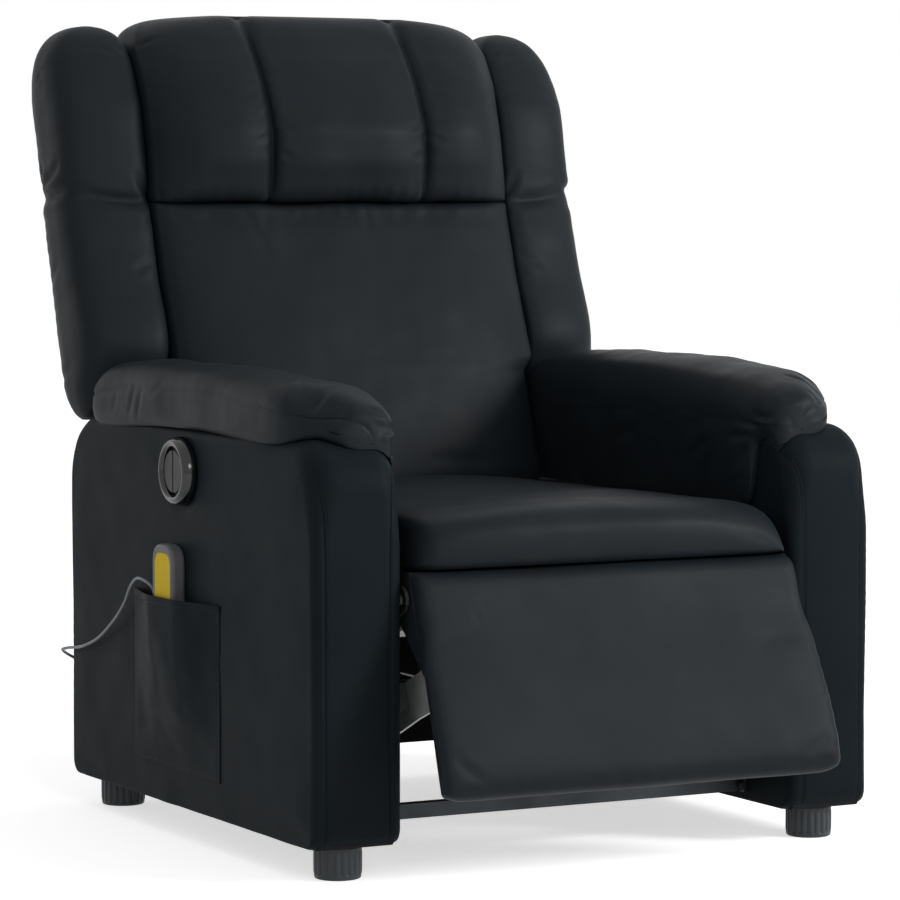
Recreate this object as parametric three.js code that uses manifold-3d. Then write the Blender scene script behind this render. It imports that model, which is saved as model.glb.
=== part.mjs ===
// A power recliner armchair with vibration massage, in millimetres, +Z up. The chair faces -Y, and the
// seated person's right-hand side is -X. Y is measured from the middle of the feet while the pieces are
// made; the finished group is moved so that the origin lies under the middle of its outline.
import * as THREE from 'three';
import { mergeVertices } from 'three/addons/utils/BufferGeometryUtils.js';
import Module from 'manifold-3d';

const wasm = await Module();
wasm.setup();

// ---------- driving dimensions ----------
const GAP = 0.3; // between pieces that touch
const ORIGIN = { x: -9.7, y: 13.3 }; // middle of the outline, from the middle of the feet

const FOOT_HEIGHT = 40;
const FOOT_RADIUS = 29;
const FOOT_X = 331.5;
const FOOT_Y = 320.5;

const ARM_INNER_X = 270;
const ARM_THICKNESS = 116;
const ARM_FRONT_Y = -374;
const ARM_REAR_Y = 370;
const ARM_TOP_Z = 520;
const ARM_CORNER = { bottomFront: 16, bottomRear: 16, topRear: 88, topFront: 62 };
const ARM_EDGE = 14; // rounding along both sides of an arm
const COVER_WALL = 9;
const CORE_WALL = 16;
const CORE_POST = 64; // depth of the timber posts over the feet

const PAD_SET_BACK = 6; // of a pad's outer side from the arm's
const PAD_SKIRT_DROP = 96; // how far its inner skirt hangs below the arm's top
const PAD_SKIRT_THICKNESS = 15.4;

const FRAME_BOTTOM_Z = 300; // seat frame
const FRAME_HEIGHT = 45;
const FRAME_FRONT_Y = -328;
const FRAME_REAR_Y = 182;
const FRAME_RAIL = 24;
const PLATE_THICKNESS = 4; // mechanism side plates, brackets and links
const WEBBING_THICKNESS = 3;
const SEAT_HALF_WIDTH = ARM_INNER_X - 15;
const SEAT_TOP_Z = 440;

const HINGE_Y = -362; // footrest hinge, under the seat's front edge
const HINGE_Z = 331;
const FOOTREST_TILT = THREE.MathUtils.degToRad(24.3); // from vertical, as the photograph has it
const FOOTREST_LENGTH = 252;
const FOOTREST_SIDE_GAP = 2; // between the footrest and an arm
const ROLL_SIDE_GAP = 3.2; // between the footrest's roll and a mechanism plate
const FOOTREST_HALF_WIDTH = ARM_INNER_X - FOOTREST_SIDE_GAP;
const FOOTREST_TOP_HALF_WIDTH = ARM_INNER_X - GAP - PLATE_THICKNESS - ROLL_SIDE_GAP;
const FOOTREST_SIDE_SLOPE = 0.54; // how far the sides draw in for each unit behind the front
const FOOTREST_FRONT = 32; // front face and roll, ahead of the hinge
const FOOTREST_BOARD = { rear: -12, front: 3, top: 30, halfWidth: FOOTREST_HALF_WIDTH - 25 };
const FOOTREST_CROWN = 6;

const ROD_RADIUS = 6;
const RUNNING = 0.3; // radial clearance of a pin that turns in its hole
const OPEN_PIVOT = 0.6; // radial clearance at the pivot where the linkage is opened
const LINK_LENGTH = 110; // front links, and the distance between the fixed pivots
const LINK_HALF_HEIGHT = 10;
const LINK_X = FOOTREST_BOARD.halfWidth - 11; // inner side of the front links
const LINK_SPACE = 2; // between the front links and the rear links
const LINK_PIN_RADIUS = 4;
const BRACKET_ALONG = 115; // place of the link pivot on the footrest, along it and behind it
const BRACKET_BEHIND = 66;
const TUBE_RADIUS = 11; // torsion tube
const CRANK_RADIUS = 60;
const CRANK_PIN_RADIUS = 5;
const CRANK_REST_ANGLE = THREE.MathUtils.degToRad(-21); // of the crank from straight down, at rest

const RAIL_WIDTH = 30;
const RAIL_TOP_Z = 212;
const RAIL_HEIGHT = 20;
const YOKE_SLOT = 15; // slot of the carriage, along Y

const BACK_PIVOT_Y = 215;
const BACK_PIVOT_Z = 330;
const PIVOT_RADIUS = 7;
const BACK_REAR_Y = 390; // rear surface of the back at the arms' top height
const BACK_SLOPE = 0.27; // how far the rear surface leans back for each unit of height
const BACK_BOTTOM_Z = 276;
const BACK_COVER = 8;
const BACK_BOARD = 20;
const BRACKET_SPACE = 10; // between the back's board and a mechanism plate
const BACK_BOARD_HALF_WIDTH = ARM_INNER_X - GAP - PLATE_THICKNESS - BRACKET_SPACE;
const BACK_COVER_TOP_Z = 1000;
const BACK_BOARD_TOP_Z = BACK_COVER_TOP_Z - 56;
const WING_INNER_X = ARM_INNER_X - 2;
const WING_SIDE_GAP = 2; // between the back's cushions and a wing
const CUSHION_HALF_WIDTH = WING_INNER_X - WING_SIDE_GAP;
const CUSHION_LOW_HALF_WIDTH = ARM_INNER_X - 20; // between the arm pads
const HEAD_SEAM_Z = 797;
const WING_BOTTOM_Z = 509;
const WING_PROUD = 4; // how far a wing stands out past the arm's outer side

const MOTOR_RADIUS = 30; // vibration motors
const MOTOR_DEPTH = 26;
const THIN_MOTOR_DEPTH = 22; // in the footrest
const BACK_MOTOR_ROWS = [HEAD_SEAM_Z - 277, HEAD_SEAM_Z - 107];
const BACK_MOTORS = BACK_MOTOR_ROWS.flatMap((z) => [[-110, z], [110, z]]);
const SEAT_MOTORS = [-100, 100];
const SEAT_MOTOR_Y = -60;
const FOOTREST_MOTORS = [-110, 110];
const FOOTREST_MOTOR_ALONG = 130;

const STRETCHER_Y = -252;
const STRETCHER_Z = 61;
const STRETCHER_HEIGHT = 18;
const REAR_PANEL_BOTTOM_Z = 47;
const REAR_PANEL_TOP_Z = 278;
const REAR_PANEL_THICKNESS = 12;

const SWITCH_Y = 0;
const SWITCH_Z = 464;
const SWITCH_RADIUS = 42;
const SWITCH_PROUD = 15;

const REMOTE = { front: -9, width: 63, thickness: 18.5, length: 136, top: 372, off: 1 };
const POCKET = { front: -113, rear: 146, bottom: 88, top: 306, sheet: 2, hem: 6, seat: 8 };
const CORD_RADIUS = 2;
const REMOTE_BUTTONS = [0.566, 0.728, 0.89].map((share) => REMOTE.top - REMOTE.length * share);

// ---------- shape helpers ----------
const DEG = Math.PI / 180;
const ARC_STEPS = 6;

function plain(geometry) {
  const g = geometry.index ? geometry.toNonIndexed() : geometry.clone();
  for (const name of Object.keys(g.attributes)) if (name !== 'position') g.deleteAttribute(name);
  return mergeVertices(g, 1e-3);
}

function toSolid(geometry) {
  const g = plain(geometry);
  return new wasm.Manifold(new wasm.Mesh({
    numProp: 3,
    vertProperties: new Float32Array(g.attributes.position.array),
    triVerts: new Uint32Array(g.index.array),
  }));
}

function toGeometry(solid) {
  const mesh = solid.getMesh();
  const g = new THREE.BufferGeometry();
  g.setAttribute('position', new THREE.BufferAttribute(new Float32Array(mesh.vertProperties), 3));
  g.setIndex(new THREE.BufferAttribute(new Uint32Array(mesh.triVerts), 1));
  return g;
}

const cut = (body, ...tools) => toGeometry(tools.reduce((m, t) => m.subtract(toSolid(t)), toSolid(body)));
const join = (body, ...more) => toGeometry(more.reduce((m, t) => m.add(toSolid(t)), toSolid(body)));

// The same piece on the other side of the chair.
function mirrored(geometry) {
  const g = plain(geometry);
  g.scale(-1, 1, 1);
  const index = g.index.array;
  for (let i = 0; i < index.length; i += 3) [index[i], index[i + 1]] = [index[i + 1], index[i]];
  return g;
}

function box(x, y, z) {
  const g = new THREE.BoxGeometry(x[1] - x[0], y[1] - y[0], z[1] - z[0]);
  return g.translate((x[0] + x[1]) / 2, (y[0] + y[1]) / 2, (z[0] + z[1]) / 2);
}

// A round bar along X.
function barX(radius, x, y, z, sides = 24) {
  const g = new THREE.CylinderGeometry(radius, radius, x[1] - x[0], sides);
  return g.rotateZ(Math.PI / 2).translate((x[0] + x[1]) / 2, y, z);
}

// A shape drawn with Y across and Z up, given its thickness along X.
function plateX(shape, x, bevel = 0, bevelSegments = 1) {
  const g = new THREE.ExtrudeGeometry(shape, {
    depth: x[1] - x[0] - 2 * bevel, bevelEnabled: bevel > 0,
    bevelThickness: bevel, bevelSize: bevel, bevelOffset: -bevel, bevelSegments,
  });
  const axes = new THREE.Matrix4().makeBasis(
    new THREE.Vector3(0, 1, 0), new THREE.Vector3(0, 0, 1), new THREE.Vector3(1, 0, 0));
  return g.applyMatrix4(axes).translate(x[0] + bevel, 0, 0);
}

const outline = (points) => new THREE.Shape(points.map(([y, z]) => new THREE.Vector2(y, z)));

// Points of an arc round (y, z), from one angle to another, in degrees.
function arc(y, z, radius, from, to, steps = ARC_STEPS) {
  return Array.from({ length: steps + 1 }, (_, i) => {
    const a = (from + (to - from) * i / steps) * DEG;
    return [y + radius * Math.cos(a), z + radius * Math.sin(a)];
  });
}

// A rectangle with four round corners, each with as many steps as its size needs.
function roundedRect(y, z, corner) {
  const { bottomFront: a, bottomRear: b, topRear: c, topFront: d } = corner;
  const steps = (r) => (r > 40 ? 10 : 4);
  return outline([
    ...arc(y[0] + a, z[0] + a, a, 180, 270, steps(a)), ...arc(y[1] - b, z[0] + b, b, 270, 360, steps(b)),
    ...arc(y[1] - c, z[1] - c, c, 0, 90, steps(c)), ...arc(y[0] + d, z[1] - d, d, 90, 180, steps(d)),
  ]);
}

const evenCorners = (r) => ({ bottomFront: r, bottomRear: r, topRear: r, topFront: r });

// A flat bar with round ends between two points of the YZ plane.
function linkShape(a, b, half) {
  const turn = Math.atan2(b[1] - a[1], b[0] - a[0]) / DEG;
  return outline([...arc(a[0], a[1], half, turn + 90, turn + 270), ...arc(b[0], b[1], half, turn - 90, turn + 90)]);
}

// A closed body through rings of equally many points, with a fan over each end.
function loft(rings) {
  const n = rings[0].length;
  const points = rings.flat();
  const faces = [];
  for (let i = 0; i + 1 < rings.length; i++) {
    for (let j = 0; j < n; j++) {
      const [a, b] = [i * n + j, i * n + (j + 1) % n];
      faces.push(a, b, a + n, b, b + n, a + n);
    }
  }
  for (const [start, flip] of [[0, true], [(rings.length - 1) * n, false]]) {
    const middle = new THREE.Vector3();
    for (let j = 0; j < n; j++) middle.addScaledVector(points[start + j], 1 / n);
    points.push(middle);
    for (let j = 0; j < n; j++) {
      const [a, b] = [start + j, start + (j + 1) % n];
      faces.push(...(flip ? [b, a, points.length - 1] : [a, b, points.length - 1]));
    }
  }
  const g = new THREE.BufferGeometry().setFromPoints(points);
  g.setIndex(faces);
  return volume(g) < 0 ? mirrored(mirrorPoints(g)) : g;
}

const mirrorPoints = (g) => g.scale(-1, 1, 1);

function volume(g) {
  const p = g.attributes.position;
  const [a, b, c] = [new THREE.Vector3(), new THREE.Vector3(), new THREE.Vector3()];
  let sum = 0;
  for (let i = 0; i < g.index.count; i += 3) {
    a.fromBufferAttribute(p, g.index.getX(i));
    b.fromBufferAttribute(p, g.index.getX(i + 1));
    c.fromBufferAttribute(p, g.index.getX(i + 2));
    sum += a.dot(b.cross(c)) / 6;
  }
  return sum;
}

// A smooth row between the rows of a table whose first column rises.
function rowAt(table, key) {
  const last = table.length - 1;
  const i = Math.min(Math.max(table.findIndex((row) => row[0] > key) - 1, 0), last - 1);
  const k = key >= table[last][0] ? last - 1 : i;
  const t = (key - table[k][0]) / (table[k + 1][0] - table[k][0]);
  return table[k].map((value, c) => value + (table[k + 1][c] - value) * t);
}

// ---------- materials ----------
const finish = (color, roughness, metalness = 0) => new THREE.MeshStandardMaterial({ color, roughness, metalness });
const LEATHER = finish(0x2b2f33, 0.45);
const LINING = finish(0x1d1f22, 0.9);
const TIMBER = finish(0xb98f5c, 0.75);
const STEEL = finish(0x9a9da0, 0.4, 0.9);
const DARK_STEEL = finish(0x3a3d40, 0.5, 0.6);
const FOOT_PLASTIC = finish(0x3b3f42, 0.55);
const BLACK_PLASTIC = finish(0x191b1d, 0.25);
const GREY_PLASTIC = finish(0x5f6063, 0.45);
const YELLOW_PLASTIC = finish(0xbf9c1c, 0.4);
const CORD_PLASTIC = finish(0xa9adb0, 0.5);
const ZINC = finish(0x8f9396, 0.5, 0.8);
const MASSAGE_PLASTIC = finish(0x222426, 0.6);

const chair = new THREE.Group();
function add(name, geometry, material) {
  const mesh = new THREE.Mesh(geometry, material);
  mesh.name = name;
  chair.add(mesh);
}
function addPair(name, leftGeometry, material) {
  add(`${name}_left`, leftGeometry, material);
  add(`${name}_right`, mirrored(leftGeometry), material);
}

// ---------- arms ----------
const ARM_OUTER_X = ARM_INNER_X + ARM_THICKNESS;
const shrunk = (corner, by) =>
  Object.fromEntries(Object.entries(corner).map(([key, r]) => [key, Math.max(r - by, 1)]));

function armShape(inset, bottom) {
  const corner = shrunk(ARM_CORNER, inset);
  if (bottom < FOOT_HEIGHT) Object.assign(corner, { bottomFront: 1, bottomRear: 1 });
  return roundedRect([ARM_FRONT_Y + inset, ARM_REAR_Y - inset], [bottom, ARM_TOP_Z - inset], corner);
}

function armCover() {
  const skin = plateX(armShape(0, FOOT_HEIGHT), [ARM_INNER_X, ARM_OUTER_X], ARM_EDGE, 3);
  const hollow = plateX(armShape(COVER_WALL, 0), [ARM_INNER_X + COVER_WALL, ARM_OUTER_X - COVER_WALL]);
  return cut(skin, hollow);
}

function armCore() {
  const inset = COVER_WALL + GAP;
  const core = plateX(armShape(inset, FOOT_HEIGHT + GAP), [ARM_INNER_X + inset, ARM_OUTER_X - inset]);
  const wall = inset + CORE_WALL;
  const hollow = box(
    [ARM_INNER_X + wall, ARM_OUTER_X - wall],
    [ARM_FRONT_Y + inset + CORE_POST, ARM_REAR_Y - inset - CORE_POST],
    [0, ARM_TOP_Z - wall]);
  return cut(core, hollow);
}

// Height of the arm's top at a place along it.
function armTop(y) {
  const { topFront: f, topRear: r } = ARM_CORNER;
  const past = Math.max(ARM_FRONT_Y + f - y, 0) / f || Math.max(y - ARM_REAR_Y + r, 0) / r;
  return ARM_TOP_Z - (y < 0 ? f : r) * (1 - Math.sqrt(1 - past * past));
}

// Stations of a pad: place along the arm, height of its ridge over the arm's level top, how far its outer
// and inner sides are drawn in, and how much of the inner skirt hangs there.
const PAD_STATIONS = [
  [-346, 14, 74, 12, 0.05], [-343, 23, 57, 8, 0.05], [-335, 34, 36, 4, 0.05], [-318, 43, 20, 2, 0.05],
  [-292, 51, 10, 0, 0.05], [-276, 55, 6, 0, 0.12], [-268, 57, 5, 0, 0.7], [-255, 60, 4, 0, 0.97],
  [-220, 65, 1, 0, 1], [-151, 71, 0, 0, 1], [-50, 75, 0, 0, 1], [60, 75, 0, 0, 1], [157, 74, 0, 0, 1],
  [215, 71, 0, 0, 1], [226, 70, 0, 0, 0.9], [232, 69, 0, 0, 0.12], [262, 63, 0, 0, 0.05],
  [280, 51, 4, 3, 0.05], [290, 36, 10, 7, 0.05], [294, 20, 20, 12, 0.05],
];

// The pad's section: places across from its inner side, with heights as shares of the way up to the ridge,
// and then the skirt, with places as shares of its thickness and heights as shares of its drop.
function padRing([y, ridge, outerDrawn, innerDrawn, skirt]) {
  const outer = ARM_OUTER_X - PAD_SET_BACK - outerDrawn;
  const edge = ARM_INNER_X - 0.6;
  const inner = edge - PAD_SKIRT_THICKNESS + innerDrawn;
  const base = armTop(y) + 0.8;
  const top = ARM_TOP_Z + 0.8 + ridge;
  const up = (x, share) => new THREE.Vector3(inner + (outer - inner) * x, y, base + (top - base) * share);
  const down = (x, share) => new THREE.Vector3(inner + (edge - inner) * x, y, base - PAD_SKIRT_DROP * share * skirt);
  return [
    up(0.88, 0), up(0.95, 0.1), up(0.99, 0.3), up(1, 0.48), up(0.985, 0.66), up(0.93, 0.84),
    up(0.83, 0.95), up(0.7, 0.995), up(0.57, 1), up(0.42, 0.985), up(0.28, 0.93), up(0.15, 0.82),
    up(0.06, 0.62), up(0.01, 0.38), up(0, 0.16), down(0, 0.22), down(0.13, 0.5),
    down(0.33, 0.8), down(0.55, 0.97), down(0.82, 1), down(1, 0.94),
    down(1, 0.14), down(1.22, 0.045), up(0.2, 0), up(0.55, 0),
  ];
}

addPair('arm_cover', armCover(), LEATHER);
addPair('arm_core', armCore(), TIMBER);
addPair('arm_pad', loft(PAD_STATIONS.map(padRing)), LEATHER);

// ---------- feet, stretcher and rear panel ----------
function foot(side, end) {
  const top = FOOT_HEIGHT - GAP;
  const profile = [[0, 0], [FOOT_RADIUS - 3, 0], [FOOT_RADIUS - 1, 2], [FOOT_RADIUS, top - 4],
    [FOOT_RADIUS - 1, top], [0, top]];
  const g = new THREE.LatheGeometry(profile.map(([r, z]) => new THREE.Vector2(r, z)), 24);
  return g.rotateX(Math.PI / 2).translate(side * FOOT_X, end * FOOT_Y, 0);
}
for (const [side, sideName] of [[1, 'left'], [-1, 'right']]) {
  for (const [end, endName] of [[-1, 'front'], [1, 'rear']]) {
    add(`foot_${endName}_${sideName}`, foot(side, end), FOOT_PLASTIC);
  }
}

const BETWEEN_ARMS = ARM_INNER_X - GAP;
function frontStretcher() {
  const half = STRETCHER_HEIGHT / 2;
  const bar = box([-BETWEEN_ARMS, BETWEEN_ARMS], [STRETCHER_Y - 8, STRETCHER_Y + 8],
    [STRETCHER_Z - half, STRETCHER_Z + half]);
  const end = box([BETWEEN_ARMS - PLATE_THICKNESS, BETWEEN_ARMS], [STRETCHER_Y - 20, STRETCHER_Y + 20],
    [STRETCHER_Z - half, STRETCHER_Z + half]);
  const bolts = [-14, 14].map((y) =>
    barX(4.5, [BETWEEN_ARMS - PLATE_THICKNESS - 4, BETWEEN_ARMS - 1], STRETCHER_Y + y, STRETCHER_Z, 6));
  const left = join(end, ...bolts);
  return join(bar, left, mirrored(left));
}
add('front_stretcher', frontStretcher(), DARK_STEEL);

const PANEL_FRONT_Y = ARM_REAR_Y - REAR_PANEL_THICKNESS;
const INLET = { x: 150, z: 110, width: 28, height: 20 };
const GLAND = { x: 30, z: 150, radius: 5 };
function alongY(radius, y, x, z, sides = 20) {
  return new THREE.CylinderGeometry(radius, radius, y[1] - y[0], sides).translate(x, (y[0] + y[1]) / 2, z);
}
function rearPanel() {
  const panel = box([-BETWEEN_ARMS, BETWEEN_ARMS], [PANEL_FRONT_Y, ARM_REAR_Y], [REAR_PANEL_BOTTOM_Z, REAR_PANEL_TOP_Z]);
  const inletHole = box(
    [INLET.x - INLET.width / 2 - GAP, INLET.x + INLET.width / 2 + GAP], [PANEL_FRONT_Y - 5, ARM_REAR_Y + 5],
    [INLET.z - INLET.height / 2 - GAP, INLET.z + INLET.height / 2 + GAP]);
  const glandHole = alongY(GLAND.radius + GAP, [PANEL_FRONT_Y - 5, ARM_REAR_Y + 5], GLAND.x, GLAND.z);
  return cut(panel, inletHole, glandHole);
}
add('rear_panel', rearPanel(), LINING);

// The inlet's socket stands through the panel, with a flange outside and a recess for the plug.
function mainsInlet() {
  const [w, h] = [INLET.width / 2, INLET.height / 2];
  const body = box([INLET.x - w, INLET.x + w], [PANEL_FRONT_Y - 12, ARM_REAR_Y + 1], [INLET.z - h, INLET.z + h]);
  const flange = box([INLET.x - w - 10, INLET.x + w + 10], [ARM_REAR_Y + GAP, ARM_REAR_Y + 3], [INLET.z - h - 4, INLET.z + h + 4]);
  const recess = box([INLET.x - w + 3, INLET.x + w - 3], [PANEL_FRONT_Y - 8, ARM_REAR_Y + 10], [INLET.z - h + 3, INLET.z + h - 3]);
  return cut(join(body, flange), recess);
}
add('mains_inlet', mainsInlet(), BLACK_PLASTIC);

const GLAND_TIP_Y = ARM_REAR_Y + 22;
function cordGland() {
  const sleeve = alongY(GLAND.radius, [PANEL_FRONT_Y - 6, ARM_REAR_Y + 2], GLAND.x, GLAND.z);
  const length = GLAND_TIP_Y - ARM_REAR_Y - GAP;
  const cone = new THREE.CylinderGeometry(3.4, 8, length, 20)
    .translate(GLAND.x, ARM_REAR_Y + GAP + length / 2, GLAND.z);
  return join(sleeve, cone);
}
add('cord_gland', cordGland(), BLACK_PLASTIC);

const CONTROL_BOX = { x: [-40, 100], z: [90, 140], depth: 36 };
add('control_box', plateX(
  roundedRect([PANEL_FRONT_Y - GAP - CONTROL_BOX.depth, PANEL_FRONT_Y - GAP], CONTROL_BOX.z, evenCorners(4)),
  CONTROL_BOX.x, 2), BLACK_PLASTIC);

// ---------- seat ----------
const FRAME_TOP_Z = FRAME_BOTTOM_Z + FRAME_HEIGHT;
const SIDE_PLATE_X = BETWEEN_ARMS - PLATE_THICKNESS; // inner side of the mechanism plates
function seatFrame() {
  const half = SIDE_PLATE_X - GAP;
  const ring = box([-half, half], [FRAME_FRONT_Y, FRAME_REAR_Y], [FRAME_BOTTOM_Z, FRAME_TOP_Z]);
  const inside = box([FRAME_RAIL - half, half - FRAME_RAIL], [FRAME_FRONT_Y + FRAME_RAIL, FRAME_REAR_Y - FRAME_RAIL],
    [FRAME_BOTTOM_Z - 5, FRAME_TOP_Z + 5]);
  return cut(ring, inside);
}
add('seat_frame', seatFrame(), TIMBER);

const WEBBING_TOP_Z = FRAME_TOP_Z + GAP + WEBBING_THICKNESS;
add('seat_webbing', box([-BACK_BOARD_HALF_WIDTH, BACK_BOARD_HALF_WIDTH], [FRAME_FRONT_Y + 6, FRAME_REAR_Y - 6],
  [FRAME_TOP_Z + GAP, WEBBING_TOP_Z]), LINING);

// The seat cushion's section: places along Y, and heights over the webbing or below the crest.
const SEAT_REAR_Y = FRAME_REAR_Y;
function seatRing(x, drawn, sunk) {
  const bottom = WEBBING_TOP_Z + GAP;
  const section = [
    [-326, bottom], [-335, bottom + 4], [-350, bottom + 16.4], [-364, bottom + 18], [-379, bottom + 18],
    [-392, bottom + 24], [-400, bottom + 38], [-403, bottom + 54], [-399, SEAT_TOP_Z - 20],
    [-388, SEAT_TOP_Z - 9], [-368, SEAT_TOP_Z - 2], [-335, SEAT_TOP_Z], [-285, SEAT_TOP_Z - 2],
    [-200, SEAT_TOP_Z - 4], [-100, SEAT_TOP_Z - 6], [20, SEAT_TOP_Z - 6], [110, SEAT_TOP_Z - 6],
    [SEAT_REAR_Y - 24, SEAT_TOP_Z - 8], [SEAT_REAR_Y - 9, SEAT_TOP_Z - 16], [SEAT_REAR_Y - 1, SEAT_TOP_Z - 32],
    [SEAT_REAR_Y - 1, bottom], [-80, bottom],
  ];
  return section.map(([y, z]) => {
    const top = z > bottom + 50 ? 1 : 0;
    const inward = y < -340 ? drawn : 0;
    return new THREE.Vector3(x, y + inward * 0.6, Math.max(z - top * (drawn + sunk), bottom));
  });
}
// Stations across the seat, as distances from its side, with how far its edge is drawn in and sunk.
const SEAT_EDGE = [[0, 22, 6], [3, 13, 5], [10, 5, 4], [28, 1, 3], [90, 0, 1]];
const seatStations = [
  ...SEAT_EDGE.map(([d, drawn, sunk]) => [d - SEAT_HALF_WIDTH, drawn, sunk]), [0, 0, 0],
  ...SEAT_EDGE.map(([d, drawn, sunk]) => [SEAT_HALF_WIDTH - d, drawn, sunk]).reverse(),
];
const motorCavity = (x, y, z, depth = MOTOR_DEPTH) =>
  new THREE.CylinderGeometry(MOTOR_RADIUS + 0.6, MOTOR_RADIUS + 0.6, depth + 6, 16)
    .rotateX(Math.PI / 2).translate(x, y, z + depth / 2 - 2);
const motorPod = (depth = MOTOR_DEPTH) => {
  const profile = [[0, 0], [MOTOR_RADIUS, 0], [MOTOR_RADIUS, depth - 5], [MOTOR_RADIUS - 5, depth], [0, depth]];
  return new THREE.LatheGeometry(profile.map(([r, z]) => new THREE.Vector2(r, z)), 16).rotateX(Math.PI / 2);
};
const POD_Z = WEBBING_TOP_Z + GAP;
add('seat_cushion', cut(loft(seatStations.map((s) => seatRing(...s))),
  ...SEAT_MOTORS.map((x) => motorCavity(x, SEAT_MOTOR_Y, POD_Z))), LEATHER);
SEAT_MOTORS.forEach((x, i) => {
  add(`seat_motor_${i + 1}`, motorPod().translate(x, SEAT_MOTOR_Y, POD_Z), MASSAGE_PLASTIC);
});

// ---------- linkage points ----------
// A place on the footrest: along it from the hinge, and in front of its middle plane.
function onFootrest(along, ahead) {
  const [s, c] = [Math.sin(FOOTREST_TILT), Math.cos(FOOTREST_TILT)];
  return [HINGE_Y - along * s - ahead * c, HINGE_Z - along * c + ahead * s];
}
const LINK_PIVOT = onFootrest(BRACKET_ALONG, -BRACKET_BEHIND); // the pivot that is left open
const TUBE = onFootrest(0, -LINK_LENGTH); // torsion tube's axis
const KNEE = [TUBE[0] + LINK_PIVOT[0] - HINGE_Y, TUBE[1] + LINK_PIVOT[1] - HINGE_Z];
const LINK_OUTER_X = LINK_X + PLATE_THICKNESS;
const REAR_LINK_X = LINK_OUTER_X + LINK_SPACE;

// ---------- mechanism side plates ----------
function sidePlate() {
  const noseRadius = 16;
  const tubeRadius = 20;
  const rearRadius = 22;
  const shape = outline([
    ...arc(HINGE_Y, HINGE_Z, noseRadius, 250, 90), [HINGE_Y + 20, FRAME_TOP_Z - 1],
    [BACK_PIVOT_Y - 40, FRAME_TOP_Z - 1], ...arc(BACK_PIVOT_Y, BACK_PIVOT_Z, rearRadius, 90, -90),
    [BACK_PIVOT_Y - 90, FRAME_BOTTOM_Z], [TUBE[0] + 60, FRAME_BOTTOM_Z - 8],
    ...arc(TUBE[0], TUBE[1], tubeRadius, -30, -120),
  ]);
  const plate = plateX(shape, [SIDE_PLATE_X, BETWEEN_ARMS]);
  const stud = barX(PIVOT_RADIUS, [BACK_BOARD_HALF_WIDTH, SIDE_PLATE_X + 1], BACK_PIVOT_Y, BACK_PIVOT_Z);
  const through = [SIDE_PLATE_X - 5, BETWEEN_ARMS + 5];
  const holes = [[HINGE_Y, HINGE_Z], [TUBE[0], TUBE[1]]].map(([y, z]) => barX(ROD_RADIUS + RUNNING, through, y, z));
  return cut(join(plate, stud), ...holes);
}
addPair('mechanism_plate', sidePlate(), STEEL);

// ---------- footrest ----------
const FRONT = FOOTREST_FRONT;
const PAD_REAR = FOOTREST_BOARD.front + GAP;
const PAD_UNDER_ROLL = FOOTREST_BOARD.top - GAP;
// The pad's section, along and ahead: the roll round the hinge, then down the front to its lower edge.
const footrestSection = [
  ...arc(0, 0, FRONT - GAP, 270, 90, 10),
  [34, FRONT + FOOTREST_CROWN * 0.35], [80, FRONT + FOOTREST_CROWN * 0.8], [130, FRONT + FOOTREST_CROWN],
  [180, FRONT + FOOTREST_CROWN * 0.8], [218, FRONT + FOOTREST_CROWN * 0.1],
  [FOOTREST_LENGTH - 14, FRONT - 6], [FOOTREST_LENGTH - 3, FRONT - 17], [FOOTREST_LENGTH, FRONT - 24],
  [FOOTREST_LENGTH - 2, PAD_REAR + 1], [FOOTREST_LENGTH - 6, PAD_REAR], [140, PAD_REAR],
  [PAD_UNDER_ROLL, PAD_REAR], [PAD_UNDER_ROLL, -14], [18, -26],
];
function footrestRing(u, drawn) {
  return footrestSection.map(([along, ahead]) => {
    const widening = THREE.MathUtils.smoothstep(along, 45, 80);
    const wide = FOOTREST_HALF_WIDTH - FOOTREST_SIDE_SLOPE * Math.max(FRONT - ahead, 0);
    const half = THREE.MathUtils.lerp(FOOTREST_TOP_HALF_WIDTH, wide, widening);
    const nearEnd = THREE.MathUtils.smoothstep(along, FOOTREST_LENGTH - 60, FOOTREST_LENGTH);
    const a = along - drawn * nearEnd;
    const b = ahead < PAD_REAR + 2 || along < 1 ? ahead : ahead - drawn;
    const [y, z] = onFootrest(a, b);
    return new THREE.Vector3(u * half, y, z);
  });
}
const FOOTREST_EDGE = [[1, 9], [0.99, 4.5], [0.965, 1.5], [0.9, 0.3], [0.55, 0]];
const footrestStations = [
  ...FOOTREST_EDGE.map(([u, drawn]) => [-u, drawn]), [0, -1],
  ...FOOTREST_EDGE.map(([u, drawn]) => [u, drawn]).reverse(),
];
// Moves a piece made round the origin, with +Z ahead and -Y along, onto the footrest.
function ontoFootrest(geometry, along, ahead, x = 0) {
  const [y, z] = onFootrest(along, ahead);
  return geometry.rotateX(Math.PI / 2 - FOOTREST_TILT).translate(x, y, z);
}
function footrestPad() {
  const bore = barX(ROD_RADIUS + GAP, [-BETWEEN_ARMS, BETWEEN_ARMS], HINGE_Y, HINGE_Z, 16);
  const cavities = FOOTREST_MOTORS.map((x) =>
    ontoFootrest(motorCavity(0, 0, 0, THIN_MOTOR_DEPTH), FOOTREST_MOTOR_ALONG, PAD_REAR, x));
  return cut(loft(footrestStations.map((s) => footrestRing(...s))), bore, ...cavities);
}
add('footrest_pad', footrestPad(), LEATHER);
FOOTREST_MOTORS.forEach((x, i) => {
  add(`footrest_motor_${i + 1}`, ontoFootrest(motorPod(THIN_MOTOR_DEPTH), FOOTREST_MOTOR_ALONG, PAD_REAR, x),
    MASSAGE_PLASTIC);
});
const BOARD_LENGTH = FOOTREST_LENGTH - 12 - FOOTREST_BOARD.top;
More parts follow.
